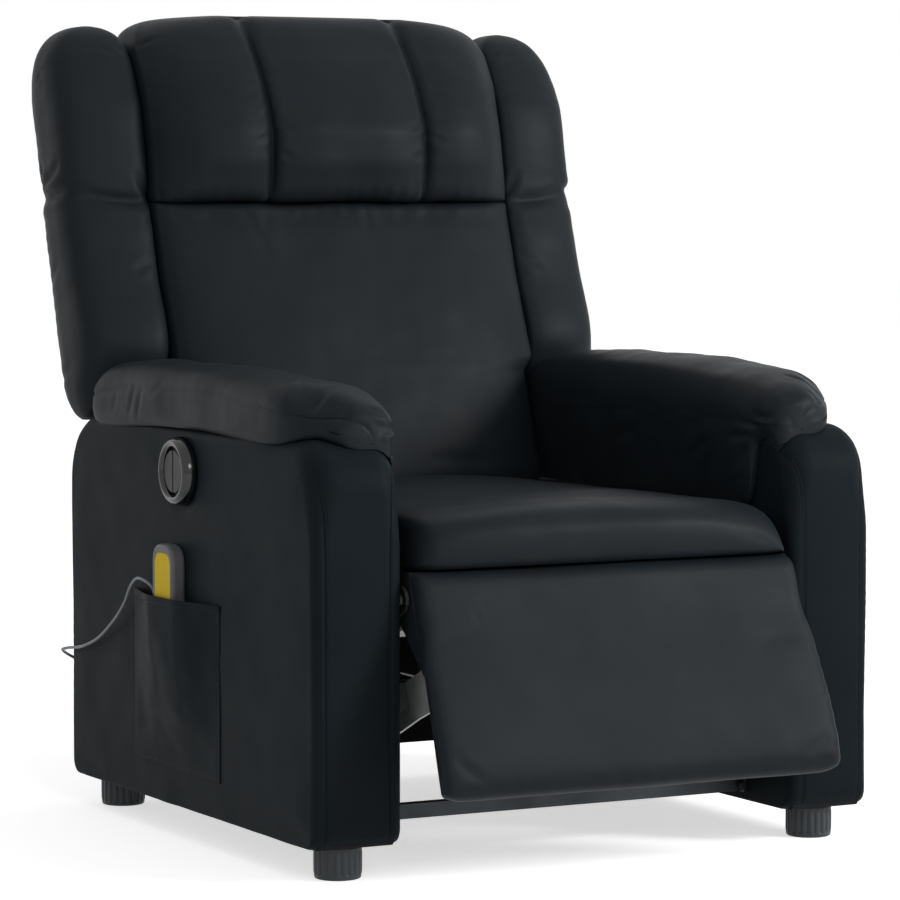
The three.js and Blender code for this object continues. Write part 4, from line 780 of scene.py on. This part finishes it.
# The seat's section in its middle and at its ends, as places along Y and heights.
SEAT_MIDDLE = [
    (-326, 348.6), (-335, 352.6), (-350, 365), (-364, 366.2), (-378, 366.4), (-390, 367.6), (-398, 373),
    (-402.5, 383.5), (-404, 398), (-401, 416), (-390, 429), (-368, 437), (-335, 440), (-285, 438),
    (-200, 436), (-100, 434), (20, 434), (110, 434), (158, 432), (173, 424), (181, 408), (181, 348.6),
    (-80, 348.6),
]
SEAT_END = [
    (-326, 348.6), (-335, 352.6), (-348, 364.6), (-360, 366), (-372, 366.2), (-381, 367), (-386.5, 369),
    (-388.5, 373.6), (-386, 380), (-378, 389.5), (-366, 400), (-350, 409.5), (-326, 416), (-285, 420.5),
    (-200, 421), (-100, 418.5), (20, 417), (110, 415), (158, 413), (173, 405), (181, 392), (181, 348.6),
    (-80, 348.6),
]
# Distance from the end, and how far the section is drawn in there.
SEAT_EDGE = [(0, 11), (2.5, 7), (8, 3.6), (18, 1.2), (40, 0), (75, 0), (110, 0), (150, 0), (200, 0)]


def seat_ring(x, drawn):
    """The seat's section, which turns from the middle's full roll into the end's lower, rounder one."""
    aside = abs(x) / 255
    share = aside**2.6 if x > 0 else 0.42 * aside**3.5
    back = drawn * (0.6 if x > 0 else 2.3)
    row = []
    for (y0, z0), (y1, z1) in zip(SEAT_MIDDLE, SEAT_END):
        y, z = y0 + (y1 - y0) * share, z0 + (z1 - z0) * share
        sunk = drawn if z > 374 else 0
        row.append((x, y + back * min(max(-300 - y, 0) / 60, 1), max(z - sunk, SEAT_BOTTOM)))
    return row


def seat_cushion():
    rows = [seat_ring(off - SEAT_HALF, drawn) for off, drawn in SEAT_EDGE] + [seat_ring(0, 0)]
    rows += [seat_ring(SEAT_HALF - off, drawn) for off, drawn in reversed(SEAT_EDGE)]
    skin = lofted(rows, 5.0, 5.0)
    p = skin.points
    n = skin.normals()
    top = step(n[:, 2], -0.1, 0.5)
    front = step(-n[:, 1], 0.2, 0.8)
    seen = np.maximum(top, front)
    amount = 0.9 * ripple(p, 230, 51) * top + 0.15 * ripple(p, 60, 52) * seen
    amount += 0.3 * ripple(p * [0.45, 1, 1], 60, 53) * front
    roll = [(-250, -350, 430), (-170, -352, 438), (-61, -350, 440), (30, -350, 440), (115, -350, 436),
            (180, -346, 430), (240, -340, 415)]
    amount += skin.crease(roll, 0.9, 11.0, 0.3)
    amount += skin.creases([
        ([(238, -388, 374), (214, -396, 386), (180, -402, 396)], 1.2, 5.5),
        ([(-120, -400, 380), (-80, -404, 392), (-30, -404, 396)], 1.0, 6.0),
        ([(-240, -120, 430), (-150, -60, 434), (-70, -40, 434)], 1.0, 9.0),
        ([(236, -60, 420), (150, -20, 430), (60, -10, 434)], 1.0, 9.0),
        ([(-246, -250, 430), (-190, -230, 435), (-120, -240, 436)], 0.9, 8.0),
        ([(246, -250, 421), (200, -224, 428), (140, -214, 433)], 0.9, 8.0),
    ])
    amount *= np.where(p[:, 2] < 352, 0.0, 1.0)
    skin.push(amount)
    return skin.piece("seat_pillow", "frame", "seat_cushion", LEATHER, fill=0.75)


# ---------- footrest ----------
TILT = math.radians(24.3)
HINGE_Y, HINGE_Z = -362.0, 331.0
ROLL = 31.7  # radius of the leather over the hinge


def on_footrest(along, ahead):
    """Y and Z of a place down the tilted footrest from its hinge, and out from it."""
    s, c = math.sin(TILT), math.cos(TILT)
    return HINGE_Y - along * s - ahead * c, HINGE_Z - along * c + ahead * s


def footrest_section():
    """The section as places down the footrest and out from it: the hinge's roll, front, end and rear."""
    turn = [math.radians(a) for a in np.linspace(270, 158, 8)]
    roll = [(ROLL * math.cos(a), ROLL * math.sin(a)) for a in turn]
    return roll + [
        (-26.5, 22), (-22, 31), (-15, 38), (-6, 41.5), (8, 41.2), (28, 38.8), (50, 37.6), (80, 37.2),
        (130, 38), (180, 37.2), (218, 35), (238, 31), (248, 24), (252, 14), (251, 5),
        (246, 3.3), (140, 3.3), (29.7, 3.3), (29.7, -14), (18, -26),
    ]


def footrest_ring(u, drawn):
    """The section at a share u of the half width, which is wider in its lower part than at the hinge."""
    row = []
    for along, ahead in footrest_section():
        lower = float(step(along, 60, 200)) * min(max(ahead - 12, 0) / 10, 1)
        wide = 268 - 0.54 * max(24 - ahead, 0) + 5 * lower
        half = 262.5 + (wide - 262.5) * float(step(along, 45, 80))
        a = along - 0.6 * drawn * float(step(along, 192, 252))
        b = ahead if ahead < 5.3 or along < -24 else ahead - drawn
        row.append((u * half, *on_footrest(a, b)))
    return row


def footrest():
    edge = [(1, 11), (0.991, 5), (0.972, 1.6), (0.93, 0.3), (0.8, 0), (0.45, 0)]
    rows = [footrest_ring(-u, d) for u, d in edge] + [footrest_ring(0, -1)]
    rows += [footrest_ring(u, d) for u, d in reversed(edge)]
    skin = lofted(rows, 4.6, 4.6)
    p = skin.points
    s, c = math.sin(TILT), math.cos(TILT)
    ahead = -(p[:, 1] - HINGE_Y) * c + (p[:, 2] - HINGE_Z) * s
    along = -(p[:, 1] - HINGE_Y) * s - (p[:, 2] - HINGE_Z) * c
    face = step(ahead, 5, 14)
    amount = (0.5 * ripple(p, 260, 61) + 0.07 * ripple(p, 60, 62)) * face
    rim = hump(np.abs(p[:, 0]), 264, 9)
    gather = np.cos(along / 3.4 + 2 * np.sin(along / 23))
    amount += 0.5 * gather * rim * step(along, 60, 110) * step(ahead, -4, 6)
    gather = np.cos(p[:, 0] / 5.3 + 2 * np.sin(p[:, 0] / 29))
    amount += 0.25 * gather * hump(along, 243, 8) * face

    def at(x, a, b=36.0):
        return (x, *on_footrest(a, b))

    amount += skin.creases([
        ([at(262, 205), at(240, 222), at(214, 236, 30)], 1.4, 6.0),
        ([at(-262, 205), at(-242, 224), at(-218, 238, 30)], 1.4, 6.0),
        ([at(-264, 70), at(-240, 62), at(-200, 60)], 0.5, 7.0),
        ([at(-200, 14, 31), at(-196, 32, 33), at(-192, 44, 35)], 1.0, 4.0),
        ([at(264, 92), at(236, 84), at(190, 86)], 0.5, 8.0),
    ])
    skin.push(amount * np.where((ahead < 4.5) & (along > 10), 0.0, 1.0))
    obj = skin.piece("footrest_cover", None, "footrest_pad", LEATHER, fill=0.7)
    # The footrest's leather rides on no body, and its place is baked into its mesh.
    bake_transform(obj)
    return obj


# ---------- arms ----------
SWITCH_Z = 464.0  # height of the switch on the right arm
ARM_INNER, ARM_OUTER = 270.0, 386.0
ARM_Y, ARM_Z = (-374.0, 370.0), (39.7, 520.0)
ARM_EDGE, ARM_SHOULDER = 15.0, 31.0
ARM_FRONT_ROLL, ARM_REAR_ROLL, ARM_FOOT_ROLL = 62.0, 88.0, 28.0
ARM_DEEPEST = 215.0  # how far in from its outline an arm's flat side is drawn


def arm_edge(y, z):
    """Radius of the arm's long edges, larger where the front rolls over into the top."""
    return ARM_EDGE + (ARM_SHOULDER - ARM_EDGE) * step(z, 385, 475) * step(-y, 190, 300)


def arm_outline(inset):
    """The arm's side outline drawn in by an inset, always with the same count of points."""
    (y0, y1), (z0, z1) = ARM_Y, ARM_Z
    spots = []
    corners = [(y0, z0, ARM_FOOT_ROLL, 180, 10), (y1, z0, ARM_FOOT_ROLL, 270, 10),
               (y1, z1, ARM_REAR_ROLL, 0, 22), (y0, z1, ARM_FRONT_ROLL, 90, 20)]
    for y, z, radius, start, steps in corners:
        r = max(radius - inset, 1.0)
        low = 0.22 * min(inset, ARM_EDGE) + max(inset - ARM_EDGE, 0)
        iy, iz = (inset if y == y0 else -inset), (low if z == z0 else -inset)
        cy, cz = y + iy + (r if y == y0 else -r), z + iz + (r if z == z0 else -r)
        spots.append([(cy + r * math.cos(math.radians(a)), cz + r * math.sin(math.radians(a)))
                      for a in np.linspace(start, start + 90, steps)])
    row = []
    for spot, following, straight in zip(spots, spots[1:] + spots[:1], (110, 62, 98, 66)):
        row += spot
        a, b = np.array(spot[-1]), np.array(following[0])
        row += [tuple(a + (b - a) * k / straight) for k in range(1, straight)]
    return row


def arm_front(x, t):
    """A point of the arm's front at height t, or past the roll's start, t along the roll."""
    start = ARM_Z[1] - ARM_FRONT_ROLL
    turn = max(t - start, 0) / ARM_FRONT_ROLL
    y = ARM_Y[0] + ARM_FRONT_ROLL * (1 - math.cos(turn))
    z = min(t, start) + ARM_FRONT_ROLL * math.sin(turn)
    drop = arm_drop(x, float(arm_edge(y, z)))
    return (x, y + drop * math.cos(turn), z - drop * math.sin(turn))


def arm_drop(x, edge):
    """How far a rounding of radius edge lies under the arm's full outline at a place across it."""
    d = np.clip(np.minimum(x - ARM_INNER, ARM_OUTER - x), 0, edge)
    return edge - np.sqrt(np.maximum(edge**2 - (edge - d) ** 2, 0))


def arm_grid():
    """The arm as closed rings across it: inner side, inner edge, rim, outer edge and outer side."""
    levels = np.concatenate([np.arange(0, 48, 3.0), np.arange(48, 217, 8.0), [218.0]])
    table = np.array([arm_outline(v) for v in levels])
    edge = arm_edge(table[0, :, 0], table[0, :, 1])

    def row(x, inset):
        inset = np.clip(inset, 0, 217)
        k = np.clip(np.searchsorted(levels, inset, side="right") - 1, 0, len(levels) - 2)
        t = ((inset - levels[k]) / (levels[k + 1] - levels[k]))[:, None]
        j = np.arange(len(inset))
        x = np.broadcast_to(x, inset.shape).reshape(-1, 1)
        return np.concatenate([x, table[k, j] * (1 - t) + table[k + 1, j] * t], axis=1)

    def side(x, shares):
        return [row(x, edge + (ARM_DEEPEST - edge) * k) for k in shares]

    def rounding(x, way, angles):
        return [row(x + way * edge * (1 - math.cos(k)), edge * (1 - math.sin(k))) for k in np.radians(angles)]

    across = (np.concatenate([np.linspace(286.0, 294, 9), np.linspace(297, 365, 18), [368.0]]) - 285) / 86
    grid = side(ARM_INNER, [0.995, 0.87, 0.73, 0.58, 0.43, 0.3, 0.18, 0.09, 0.035])
    grid += rounding(ARM_INNER, 1, np.linspace(0, 90, 18))
    grid += [row(ARM_INNER + edge + (ARM_OUTER - ARM_INNER - 2 * edge) * k, edge * 0) for k in across]
    grid += rounding(ARM_OUTER, -1, np.linspace(90, 0, 18))
    grid += side(ARM_OUTER, [0.012, 0.03, 0.055, 0.085, *np.linspace(0.12, 0.995, 20)])
    return np.array(grid)


def arm(side, name):
    skin = closed_skin(arm_grid())
    skin.snaps = True
    p = skin.points
    n = skin.normals()
    y, z = p[:, 1], p[:, 2]
    panel = np.minimum.reduce([(y - ARM_Y[0]) / 60, (ARM_Y[1] - y) / 60, (z - 40) / 60, (520 - z) / 60])
    outer = step(n[:, 0], 0.3, 0.8)
    front = step(-n[:, 1], 0.3, 0.8)
    amount = 1.8 * step(panel, 0, 1) * outer + 0.45 * ripple(p, 230, 71 + side) * outer
    amount += 1.4 * front * np.sin(np.clip((p[:, 0] - 288) / 85, 0, 1) * math.pi) * step(z, 45, 90)
    amount += 0.12 * ripple(p, 60, 73 + side) * np.maximum(outer, front)
    outer_seam = [arm_front(*spot) for spot in (
        (373, 44), (373, 200), (373, 330), (373.5, 420), (375, 455), (378, 485), (381, 510))]
    inner_seam = [arm_front(*spot) for spot in (
        (289, 44), (289, 200), (288.5, 391), (287, 435), (284, 462), (278, 484), (273, 500))]
    rear_seam = [(372, 371, 44), (372, 371, 250), (372, 370, 420), (375, 350, 486)]
    amount += skin.seam(outer_seam, 1.3, 2.6, 0.35, 15, 77)
    amount += skin.seam(inner_seam, 1.3, 2.4, 0.35, 15, 78)
    amount += skin.seam(rear_seam, 1.3, 2.4, 0.4, 16, 79)
    amount += skin.creases([
        ([(383, -340, 60), (386, -310, 62), (387, -270, 58)], 0.7, 7.0),
        ([(386, 340, 66), (387, 300, 60), (387, 260, 62)], 0.7, 7.0),
        ([(330, -376, 70), (310, -376, 62), (296, -376, 60)], 0.7, 7.0),
    ])
    if side < 0:  # flat under the switch
        under = step(54 - np.hypot(y, z - SWITCH_Z), 0, 14) * outer
        amount = amount * (1 - under) - 0.8 * under
    skin.push(np.where(p[:, 2] < 41, 0.0, amount))
    for line in (outer_seam, inner_seam, rear_seam):
        skin.welt([(x - 1.6, yy, zz) for x, yy, zz in line], 0.95, -0.15)
    if side < 0:
        skin = skin.mirrored()
    return skin.piece(f"arm_{name}", "frame", f"arm_cover_{name}", LEATHER_SHADED_COPY, fill=0.6)


# ---------- arm pads ----------
# Place along Y, crest over the arm's top, drawn in outside and inside, and how far the inner skirt hangs.
PAD_STATIONS = [
    (-349, 15, 68, 29, 0.05), (-347, 26, 57, 20, 0.05), (-342, 34.5, 48, 13, 0.05),
    (-333, 41.5, 40, 8.5, 0.05), (-314, 50, 29, 5.5, 0.05), (-300, 54, 19, 3.5, 0.25),
    (-290, 56.5, 14, 2, 0.75), (-280, 59, 10, 1, 0.95), (-262, 62.5, 5, 0, 1), (-230, 66, 1.5, 0, 1),
    (-190, 69, 0.3, 0, 1), (-151, 71, 0, 0, 1), (-50, 75, 0, 0, 1), (60, 75, 0, 0, 1), (157, 75, 0, 0, 1),
    (215, 73, 0, 0, 1), (250, 70, 0, 0, 1), (270, 64, 0.5, 1, 1), (284, 54, 2, 3, 0.97),
    (292, 42, 6, 6, 0.8), (297, 26, 14, 12, 0.4),
]
PAD_HANG = [(-344, 520), (-306, 514), (-243, 509), (-138, 515), (0, 519), (140, 513), (267, 505), (297, 508)]
PAD_OUTER, PAD_INNER = 387.6, 254.0
# Share of the width from inside, and share of the height over the arm, or down to the skirt's hem.
PAD_OVER = [(1, 0.5), (0.985, 0.67), (0.93, 0.84), (0.83, 0.95), (0.7, 0.995), (0.57, 1), (0.42, 0.985),
            (0.28, 0.93), (0.15, 0.82), (0.06, 0.62), (0.01, 0.38), (0, 0.16)]
PAD_SKIRT = [(0, 0.22), (0.13, 0.5), (0.33, 0.8), (0.55, 0.97), (0.82, 1), (1, 0.94)]


def arm_top(y):
    f, r = ARM_FRONT_ROLL, ARM_REAR_ROLL
    past = max(ARM_Y[0] + f - y, 0) / f or max(y - ARM_Y[1] + r, 0) / r
    return 520 - (f if y < 0 else r) * (1 - math.sqrt(1 - min(past, 1) ** 2))


def pad_ring(y, ridge, outer_drawn, inner_drawn, skirt):
    outer, inner = PAD_OUTER - outer_drawn, PAD_INNER + inner_drawn
    edge = max(269.4, inner + 2)
    base, top = arm_top(y) + 0.8, ARM_Z[1] + 0.8 + ridge

    def seat(x):
        """The height just over the arm's rounded top."""
        return base - float(arm_drop(x, float(arm_edge(y, arm_top(y)))))

    hang = np.interp(y, [k for k, _ in PAD_HANG], [v for _, v in PAD_HANG])
    hang = min(max(hang, seat(outer - 1.5) + 1.5), base + 2)
    row = [(outer - 8, y, seat(outer - 8)), (outer - 1.6, y, hang), (outer, y, hang + 5)]
    row.append((outer + 0.4, y, hang + 13))
    # The nose falls away on its outer side.
    nose = 0.34 * float(step(-y, 240, 310))
    over = [(a, b * (1 - nose * float(step(a, 0.6, 1.0)))) for a, b in PAD_OVER]
    row += [(inner + (outer - inner) * a, y, base + (top - base) * b) for a, b in over]
    clear = edge > 269.5  # whether the inner side stands on the arm rather than beside it
    least = seat(edge) + 1 if clear else 0
    drop = max(107 * skirt, 17)
    row += [(inner + (edge - inner) * a, y, max(base - drop * b, least)) for a, b in PAD_SKIRT]
    row.append((edge, y, seat(edge + 1.5) if clear else min(seat(270.8) - 1, base - 1)))
    under = [inner + (outer - inner) * a for a in (0.17, 0.24, 0.36, 0.6, 0.82)]
    return row + [(x, y, seat(x)) for x in under]


PAD_SEAM = [
    (380, 288, 546), (387, 152, 560), (387, 64, 561), (387, -9, 563), (387, -91, 564), (386, -161, 559),
    (384, -207, 554), (379, -265, 549), (366, -304, 547), (344, -328, 546), (316, -336, 539),
    (290, -332, 526), (273, -322, 514),
]


def pad(side, name):
    skin = lofted([pad_ring(*s) for s in PAD_STATIONS], 3.4, 3.6)
    skin.snaps = True
    p = skin.points
    n = skin.normals()
    y, z = p[:, 1], p[:, 2]
    seen = step(z, 521.5, 530) + step(-n[:, 0], 0.2, 0.7) * (z < 521.5)
    amount = (0.9 * ripple(p, 130, 81 + side) + 0.2 * ripple(p, 42, 83 + side)) * seen
    amount += 0.3 * ripple(p * [1, 1, 0.7], 60, 85 + side) * seen * (1 - step(y, -330, -240))
    amount += skin.seam(PAD_SEAM, 1.9, 2.1, 0.06, 23, seed=89)
    front = [(254, -250, 500), (256, -272, 505), (262, -296, 508)]
    amount += skin.creases([
        ([(382, 148, 566), (384, 157, 544), (383, 168, 524)], 1.5, 4.6),
        ([(382, 122, 562), (384, 130, 545), (382, 138, 524)], 1.1, 4.2),
        ([(384, 92, 556), (382, 76, 564), (380, 60, 570)], 0.9, 4.2),
        ([(384, 206, 554), (384, 214, 540), (382, 222, 526)], 0.7, 4.6),
        ([(366, -306, 549), (349, -303, 566), (316, -280, 577)], 2.8, 5.5),
        ([(367, -280, 562), (354, -262, 574), (336, -246, 583)], 1.3, 5.0),
        ([(300, -340, 557), (288, -340, 553), (277, -338, 547)], 1.2, 4.5),
        ([(340, -340, 548), (330, -340, 557), (316, -334, 565)], 1.4, 4.5),
        (front, 2.2, 4.6),
        ([(254, -270, 520), (257, -292, 521), (262, -316, 516)], 1.8, 4.6),
        ([(258, -296, 534), (262, -318, 530), (276, -338, 532), (300, -345, 540)], 1.4, 4.6),
        ([(254, -262, 462), (256, -274, 478), (258, -284, 492)], 1.8, 4.6),
        ([(255, -266, 446), (256, -280, 452)], 1.4, 4.4),
        ([(270, -336, 530), (270, -334, 516)], 1.0, 3.6),
        ([(286, -344, 530), (286, -342, 516)], 0.8, 3.4),
        ([(254, 40, 480), (254, 10, 492), (256, -30, 500)], 1.6, 7.0),
        ([(254, -150, 470), (254, -180, 486), (255, -214, 500)], 1.8, 6.0),
    ])
    skin.push(amount * np.where((z < 521.2) & (n[:, 2] < -0.6), 0.0, 1.0))
    skin.welt([(x, yy, zz + 2.0) for x, yy, zz in PAD_SEAM[6:]], 0.9, 0.0)
    if side < 0:
        skin = skin.mirrored()
    return skin.piece(f"armrest_{name}", "frame", f"arm_pad_{name}", LEATHER, fill=0.65)


# ---------- feet ----------
def lathe(profile, sides, ribs=None, closed=False):
    """A body turned round +Z from (radius, height) pairs; a closed profile makes a ring."""
    points = []
    for radius, height in profile:
        for k in range(sides):
            a = 2 * math.pi * k / sides
            r = radius - ribs(a, height) if ribs else radius
            points.append((r * math.cos(a), r * math.sin(a), height))
    rows = len(profile)
    return Skin(points, ring_quads(rows + closed, sides) % (rows * sides))


FOOT_TOP = 39.4
FOOT_PROFILE = [
    (0.01, 0), (22, 0), (26.2, 0.1), (27.4, 0.8), (28, 2.2), (28.2, 5), (28.6, 6.5), (28.9, 9), (29, 20),
    (29, 31), (28.7, 33.5), (28.7, 36.5), (28.4, 38.4), (27.4, FOOT_TOP), (22, FOOT_TOP), (0.01, FOOT_TOP),
]
FOOT_X, FOOT_Y = 331.5, 320.5
FOOT_FLUTES, FLUTE_DEPTH, FLUTE_HEIGHTS = 20, 1.7, (6, 34)


def flutes(angle, height):
    low, high = FLUTE_HEIGHTS
    return FLUTE_DEPTH * (0.5 + 0.5 * math.cos(FOOT_FLUTES * angle)) ** 2 if low < height < high else 0.0


def make_feet():
    for side, side_name in ((1, "left"), (-1, "right")):
        for end, end_name in ((-1, "front"), (1, "rear")):
            foot = lathe(FOOT_PROFILE, 240, flutes)
            foot.points += [side * FOOT_X, end * FOOT_Y, 0]
            node = f"foot_{end_name}_{side_name}"
            foot.piece(f"ribbed_{node}", "frame", node, FOOT_PLASTIC, "foot_plastic")


# ---------- switch ----------
BEZEL_X = -386.35
BEZEL_PROFILE = [
    (27.7, 0.4), (27.7, 6.6), (28.0, 7.0), (28.8, 7.2), (29.5, 8.0), (29.9, 10.0), (30.3, 12.4),
    (31.2, 14.9), (32.8, 16.7), (34.8, 17.4), (37.0, 17.0), (39.0, 15.6), (40.7, 13.2), (41.9, 10.2),
    (42.7, 6.8), (43.2, 3.6), (43.3, 1.6), (43.1, 0.4), (42.3, 0.0), (28.4, 0.0),
]


def make_switch():
    """A glossy round bezel with a deep well round the two half-round buttons."""
    ring = lathe(BEZEL_PROFILE, 128, closed=True)
    p = ring.points
    ring.points = np.stack([BEZEL_X - p[:, 2], p[:, 0], SWITCH_Z + p[:, 1]], axis=1)
    ring.piece("switch_bezel", "frame", "switch_housing", GLOSS_PLASTIC, "black_plastic")


# ---------- pocket ----------
POCKET_Y, POCKET_Z = (-113.0, 146.0), (88.0, 306.0)
POCKET_SEWN_X, POCKET_OUT_X = -389.0, -387.0  # where its edges lie, and the least that all of it stands out
POCKET_BULGE, POCKET_SHEET = 21.0, 1.8
HEM_Z = 295.0
# Share of the bulge at places across and up the pocket.
POCKET_ACROSS = [(-113, 0), (-100, 0.08), (-60, 0.48), (-28, 0.86), (-12, 0.98), (24, 1.02), (54, 0.99),
                 (70, 0.86), (100, 0.5), (132, 0.1), (146, 0)]
POCKET_UP = [(88, 0), (110, 0.06), (140, 0.2), (165, 0.46), (185, 0.62), (215, 0.8), (238, 0.97), (262, 1.0),
             (306, 1.0)]


def pocket_share(table, at):
    return smooth([k for k, _ in table], np.array([v for _, v in table])[:, None], at)[:, 0]


def pocket_outside():
    """The pocket's outer face as a grid (up, across, 3), standing off where the remote is."""
    ys = np.arange(POCKET_Y[0], POCKET_Y[1] + 0.1, 3.7)
    zs = np.concatenate([np.linspace(POCKET_Z[0], 285, 54), np.linspace(287, POCKET_Z[1], 16)])
    z, y = np.meshgrid(zs, ys, indexing="ij")
    x = POCKET_SEWN_X - POCKET_BULGE * np.outer(pocket_share(POCKET_UP, zs), pocket_share(POCKET_ACROSS, ys))
    p = np.stack([x, y, z], axis=-1).reshape(-1, 3)
    y, z = p[:, 1], p[:, 2]
    aside, above = np.minimum(y - POCKET_Y[0], POCKET_Y[1] - y), z - POCKET_Z[0]
    free = np.clip(aside / 30, 0, 1) * np.clip(above / 40, 0, 1)
    low = ripple(p * [0.1, 1, 0.5], 70, 91)
    p[:, 0] -= (0.5 * low + 0.15 * ripple(p, 34, 92)) * free
    p[:, 0] += 0.7 * hump(np.minimum(aside, above), 5, 1.8) + hump(z, HEM_Z, 1.6)
    p[:, 0] -= 0.9 * step(z, HEM_Z + 1, HEM_Z + 3)
    p[:, 0] = np.minimum(p[:, 0], POCKET_OUT_X - POCKET_SHEET)
    return p.reshape(len(zs), len(ys), 3)


def sheet_skin(outer, thickness):
    """A sheet of a thickness along X behind a grid (rows, columns, 3) of its outer face."""
    rows, columns = outer.shape[:2]
    count = rows * columns
    number = np.arange(count).reshape(rows, columns)
    a, b, c, d = number[:-1, :-1], number[:-1, 1:], number[1:, 1:], number[1:, :-1]
    front = np.stack([a, b, c, d], axis=-1).reshape(-1, 4)
    rim = np.concatenate([number[:, 0], number[-1, 1:], number[-2::-1, -1], number[0, -2:0:-1]])
    following = np.roll(rim, -1)
    sides = np.stack([rim, following, following + count, rim + count], axis=1)
    points = np.concatenate([outer.reshape(-1, 3), (outer + [thickness, 0, 0]).reshape(-1, 3)])
    skin = Skin(points, np.concatenate([front, front[:, ::-1] + count, sides]))
    if skin.normals()[:count, 0].mean() > 0:
        skin.quads = skin.quads[:, ::-1]
    return skin


def make_pocket():
    """A leather patch sewn on at three sides, with a turned hem."""
    outer = pocket_outside()
    skin = sheet_skin(outer, POCKET_SHEET)
    x = POCKET_SEWN_X - 0.5
    near, far, bottom = POCKET_Y[0] + 5, POCKET_Y[1] - 5, POCKET_Z[0] + 5
    for line in ([(x, y, HEM_Z + 2.6) for y in (-111, -60, -20, 30, 60, 100, 144)],
                 [(x, near, z) for z in (302, 200, bottom)], [(x, far, z) for z in (302, 200, bottom)],
                 [(x, y, bottom) for y in (near, 20, far)]):
        skin.stitches(line, 4.0, 0.2, 14)
    obj = skin.piece("pocket_leather", "frame", "side_pocket", LEATHER_SHADED_COPY)


# ---------- floor, light ----------
FLOOR_HALF = 14.0
FLOOR_GLOW = 0.62
WORLD_LIGHT, WORLD_SEEN = 0.46, 1.0
WHITE = (1.0, 1.0, 1.0, 1.0)


def seen_directly(tree):
    """1 for rays from the camera, from gloss and through glass, and 0 for the light that falls on things."""
    total = shader_node(tree, "LightPath", "Is Camera Ray")
    path = total.node
    for other in ("Is Glossy Ray", "Is Transmission Ray"):
        total = shader_node(tree, "Math", 0, links={0: total, 1: path.outputs[other]}, operation="MAXIMUM")
    return total


def make_floor():
    corners = [(x * FLOOR_HALF, y * FLOOR_HALF, 0.0) for x, y in ((-1, -1), (1, -1), (1, 1), (-1, 1))]
    mesh = bpy.data.meshes.new("floor")
    mesh.from_pydata(corners, [], [(0, 1, 2, 3)])
    floor = bpy.data.objects.new("floor", mesh)
    bpy.context.collection.objects.link(floor)
    f = Finish("floor_paint", roughness=0.9, specular=0.05)
    f.colours(f.noise(2.0, 3.0), (0.3, (0.93, 0.93, 0.93)), (0.7, (0.95, 0.95, 0.95)))
    strength = f.node("Math", 0, {1: FLOOR_GLOW}, {0: seen_directly(f.tree)}, operation="MULTIPLY")
    glow = f.node("Emission", "Emission", {"Color": WHITE}, {"Strength": strength})
    surface = f.node("AddShader", "Shader", links={0: f.shader.outputs["BSDF"], 1: glow})
    f.tree.links.new(surface, f.tree.nodes["Material Output"].inputs["Surface"])
    mesh.materials.append(f.material)


def make_world():
    world = bpy.data.worlds.new("studio")
    world.use_nodes = True
    tree = world.node_tree
    background = tree.nodes["Background"]
    background.inputs["Color"].default_value = WHITE
    strength = shader_node(tree, "MapRange", "Result", {"To Min": WORLD_LIGHT, "To Max": WORLD_SEEN},
                           {"Value": seen_directly(tree)})
    tree.links.new(strength, background.inputs["Strength"])
    bpy.context.scene.world = world


def lamp(name, place, aim, power, size):
    data = bpy.data.lights.new(name, "AREA")
    data.shape = "DISK"
    data.size = size
    data.energy = power
    obj = bpy.data.objects.new(name, data)
    bpy.context.collection.objects.link(obj)
    obj.location = place
    obj.rotation_euler = (Vector(aim) - Vector(place)).to_track_quat("-Z", "Y").to_euler()


head_cushion()
lower_cushion()
wing(1, "left")
wing(-1, "right")
rear_cover()
seat_cushion()
footrest()
arm(1, "left")
arm(-1, "right")
pad(1, "left")
pad(-1, "right")
make_feet()
make_switch()
make_pocket()

# ---------- what the frame brings along ----------
# The start of a node's name and its material; whatever isn't named here is bright steel, whose pale,
# half-diffuse colour is partly painted reflection.
CARRIED = {
    "arm_core_": LINING, "rear_panel": LINING, "seat_webbing": LINING, "back_board": LINING,
    "footrest_board": LINING, "seat_frame": TIMBER, "front_stretcher": DARK_STEEL,
    "mechanism_plate_": DARK_STEEL, "back_bracket_": DARK_STEEL, "actuator_rail": ZINC,
    "actuator_motor": ZINC,
    "mains_inlet": BLACK_PLASTIC, "cord_gland": BLACK_PLASTIC, "control_box": BLACK_PLASTIC,
    "actuator_carriage": BLACK_PLASTIC, "actuator_gearbox": BLACK_PLASTIC, "seat_motor_": MASSAGE_PLASTIC,
    "back_motor_": MASSAGE_PLASTIC, "footrest_motor_": MASSAGE_PLASTIC, "switch_button_": BUTTON_PLASTIC,
    "remote_case": GREY_PLASTIC, "remote_button_": GREY_PLASTIC, "remote_face": YELLOW_PLASTIC,
    "remote_strain_relief": CORD_PLASTIC,
}


def dress_frame():
    for name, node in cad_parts.items():
        material = next((m for key, m in CARRIED.items() if name.startswith(key)), STEEL)
        node.data.materials.clear()
        node.data.materials.append(material)


dress_frame()
make_floor()
make_world()
lamp("key", (3.3, -3.3, 2.2), (0.0, 0.1, 1.1), 160.0, 1.5)
lamp("front", (-1.0, -4.7, 2.2), (0.0, 0.2, 1.0), 26.0, 1.2)
lamp("rear", (-2.4, 3.4, 1.2), (0.0, 0.2, 0.6), 6.0, 1.5)
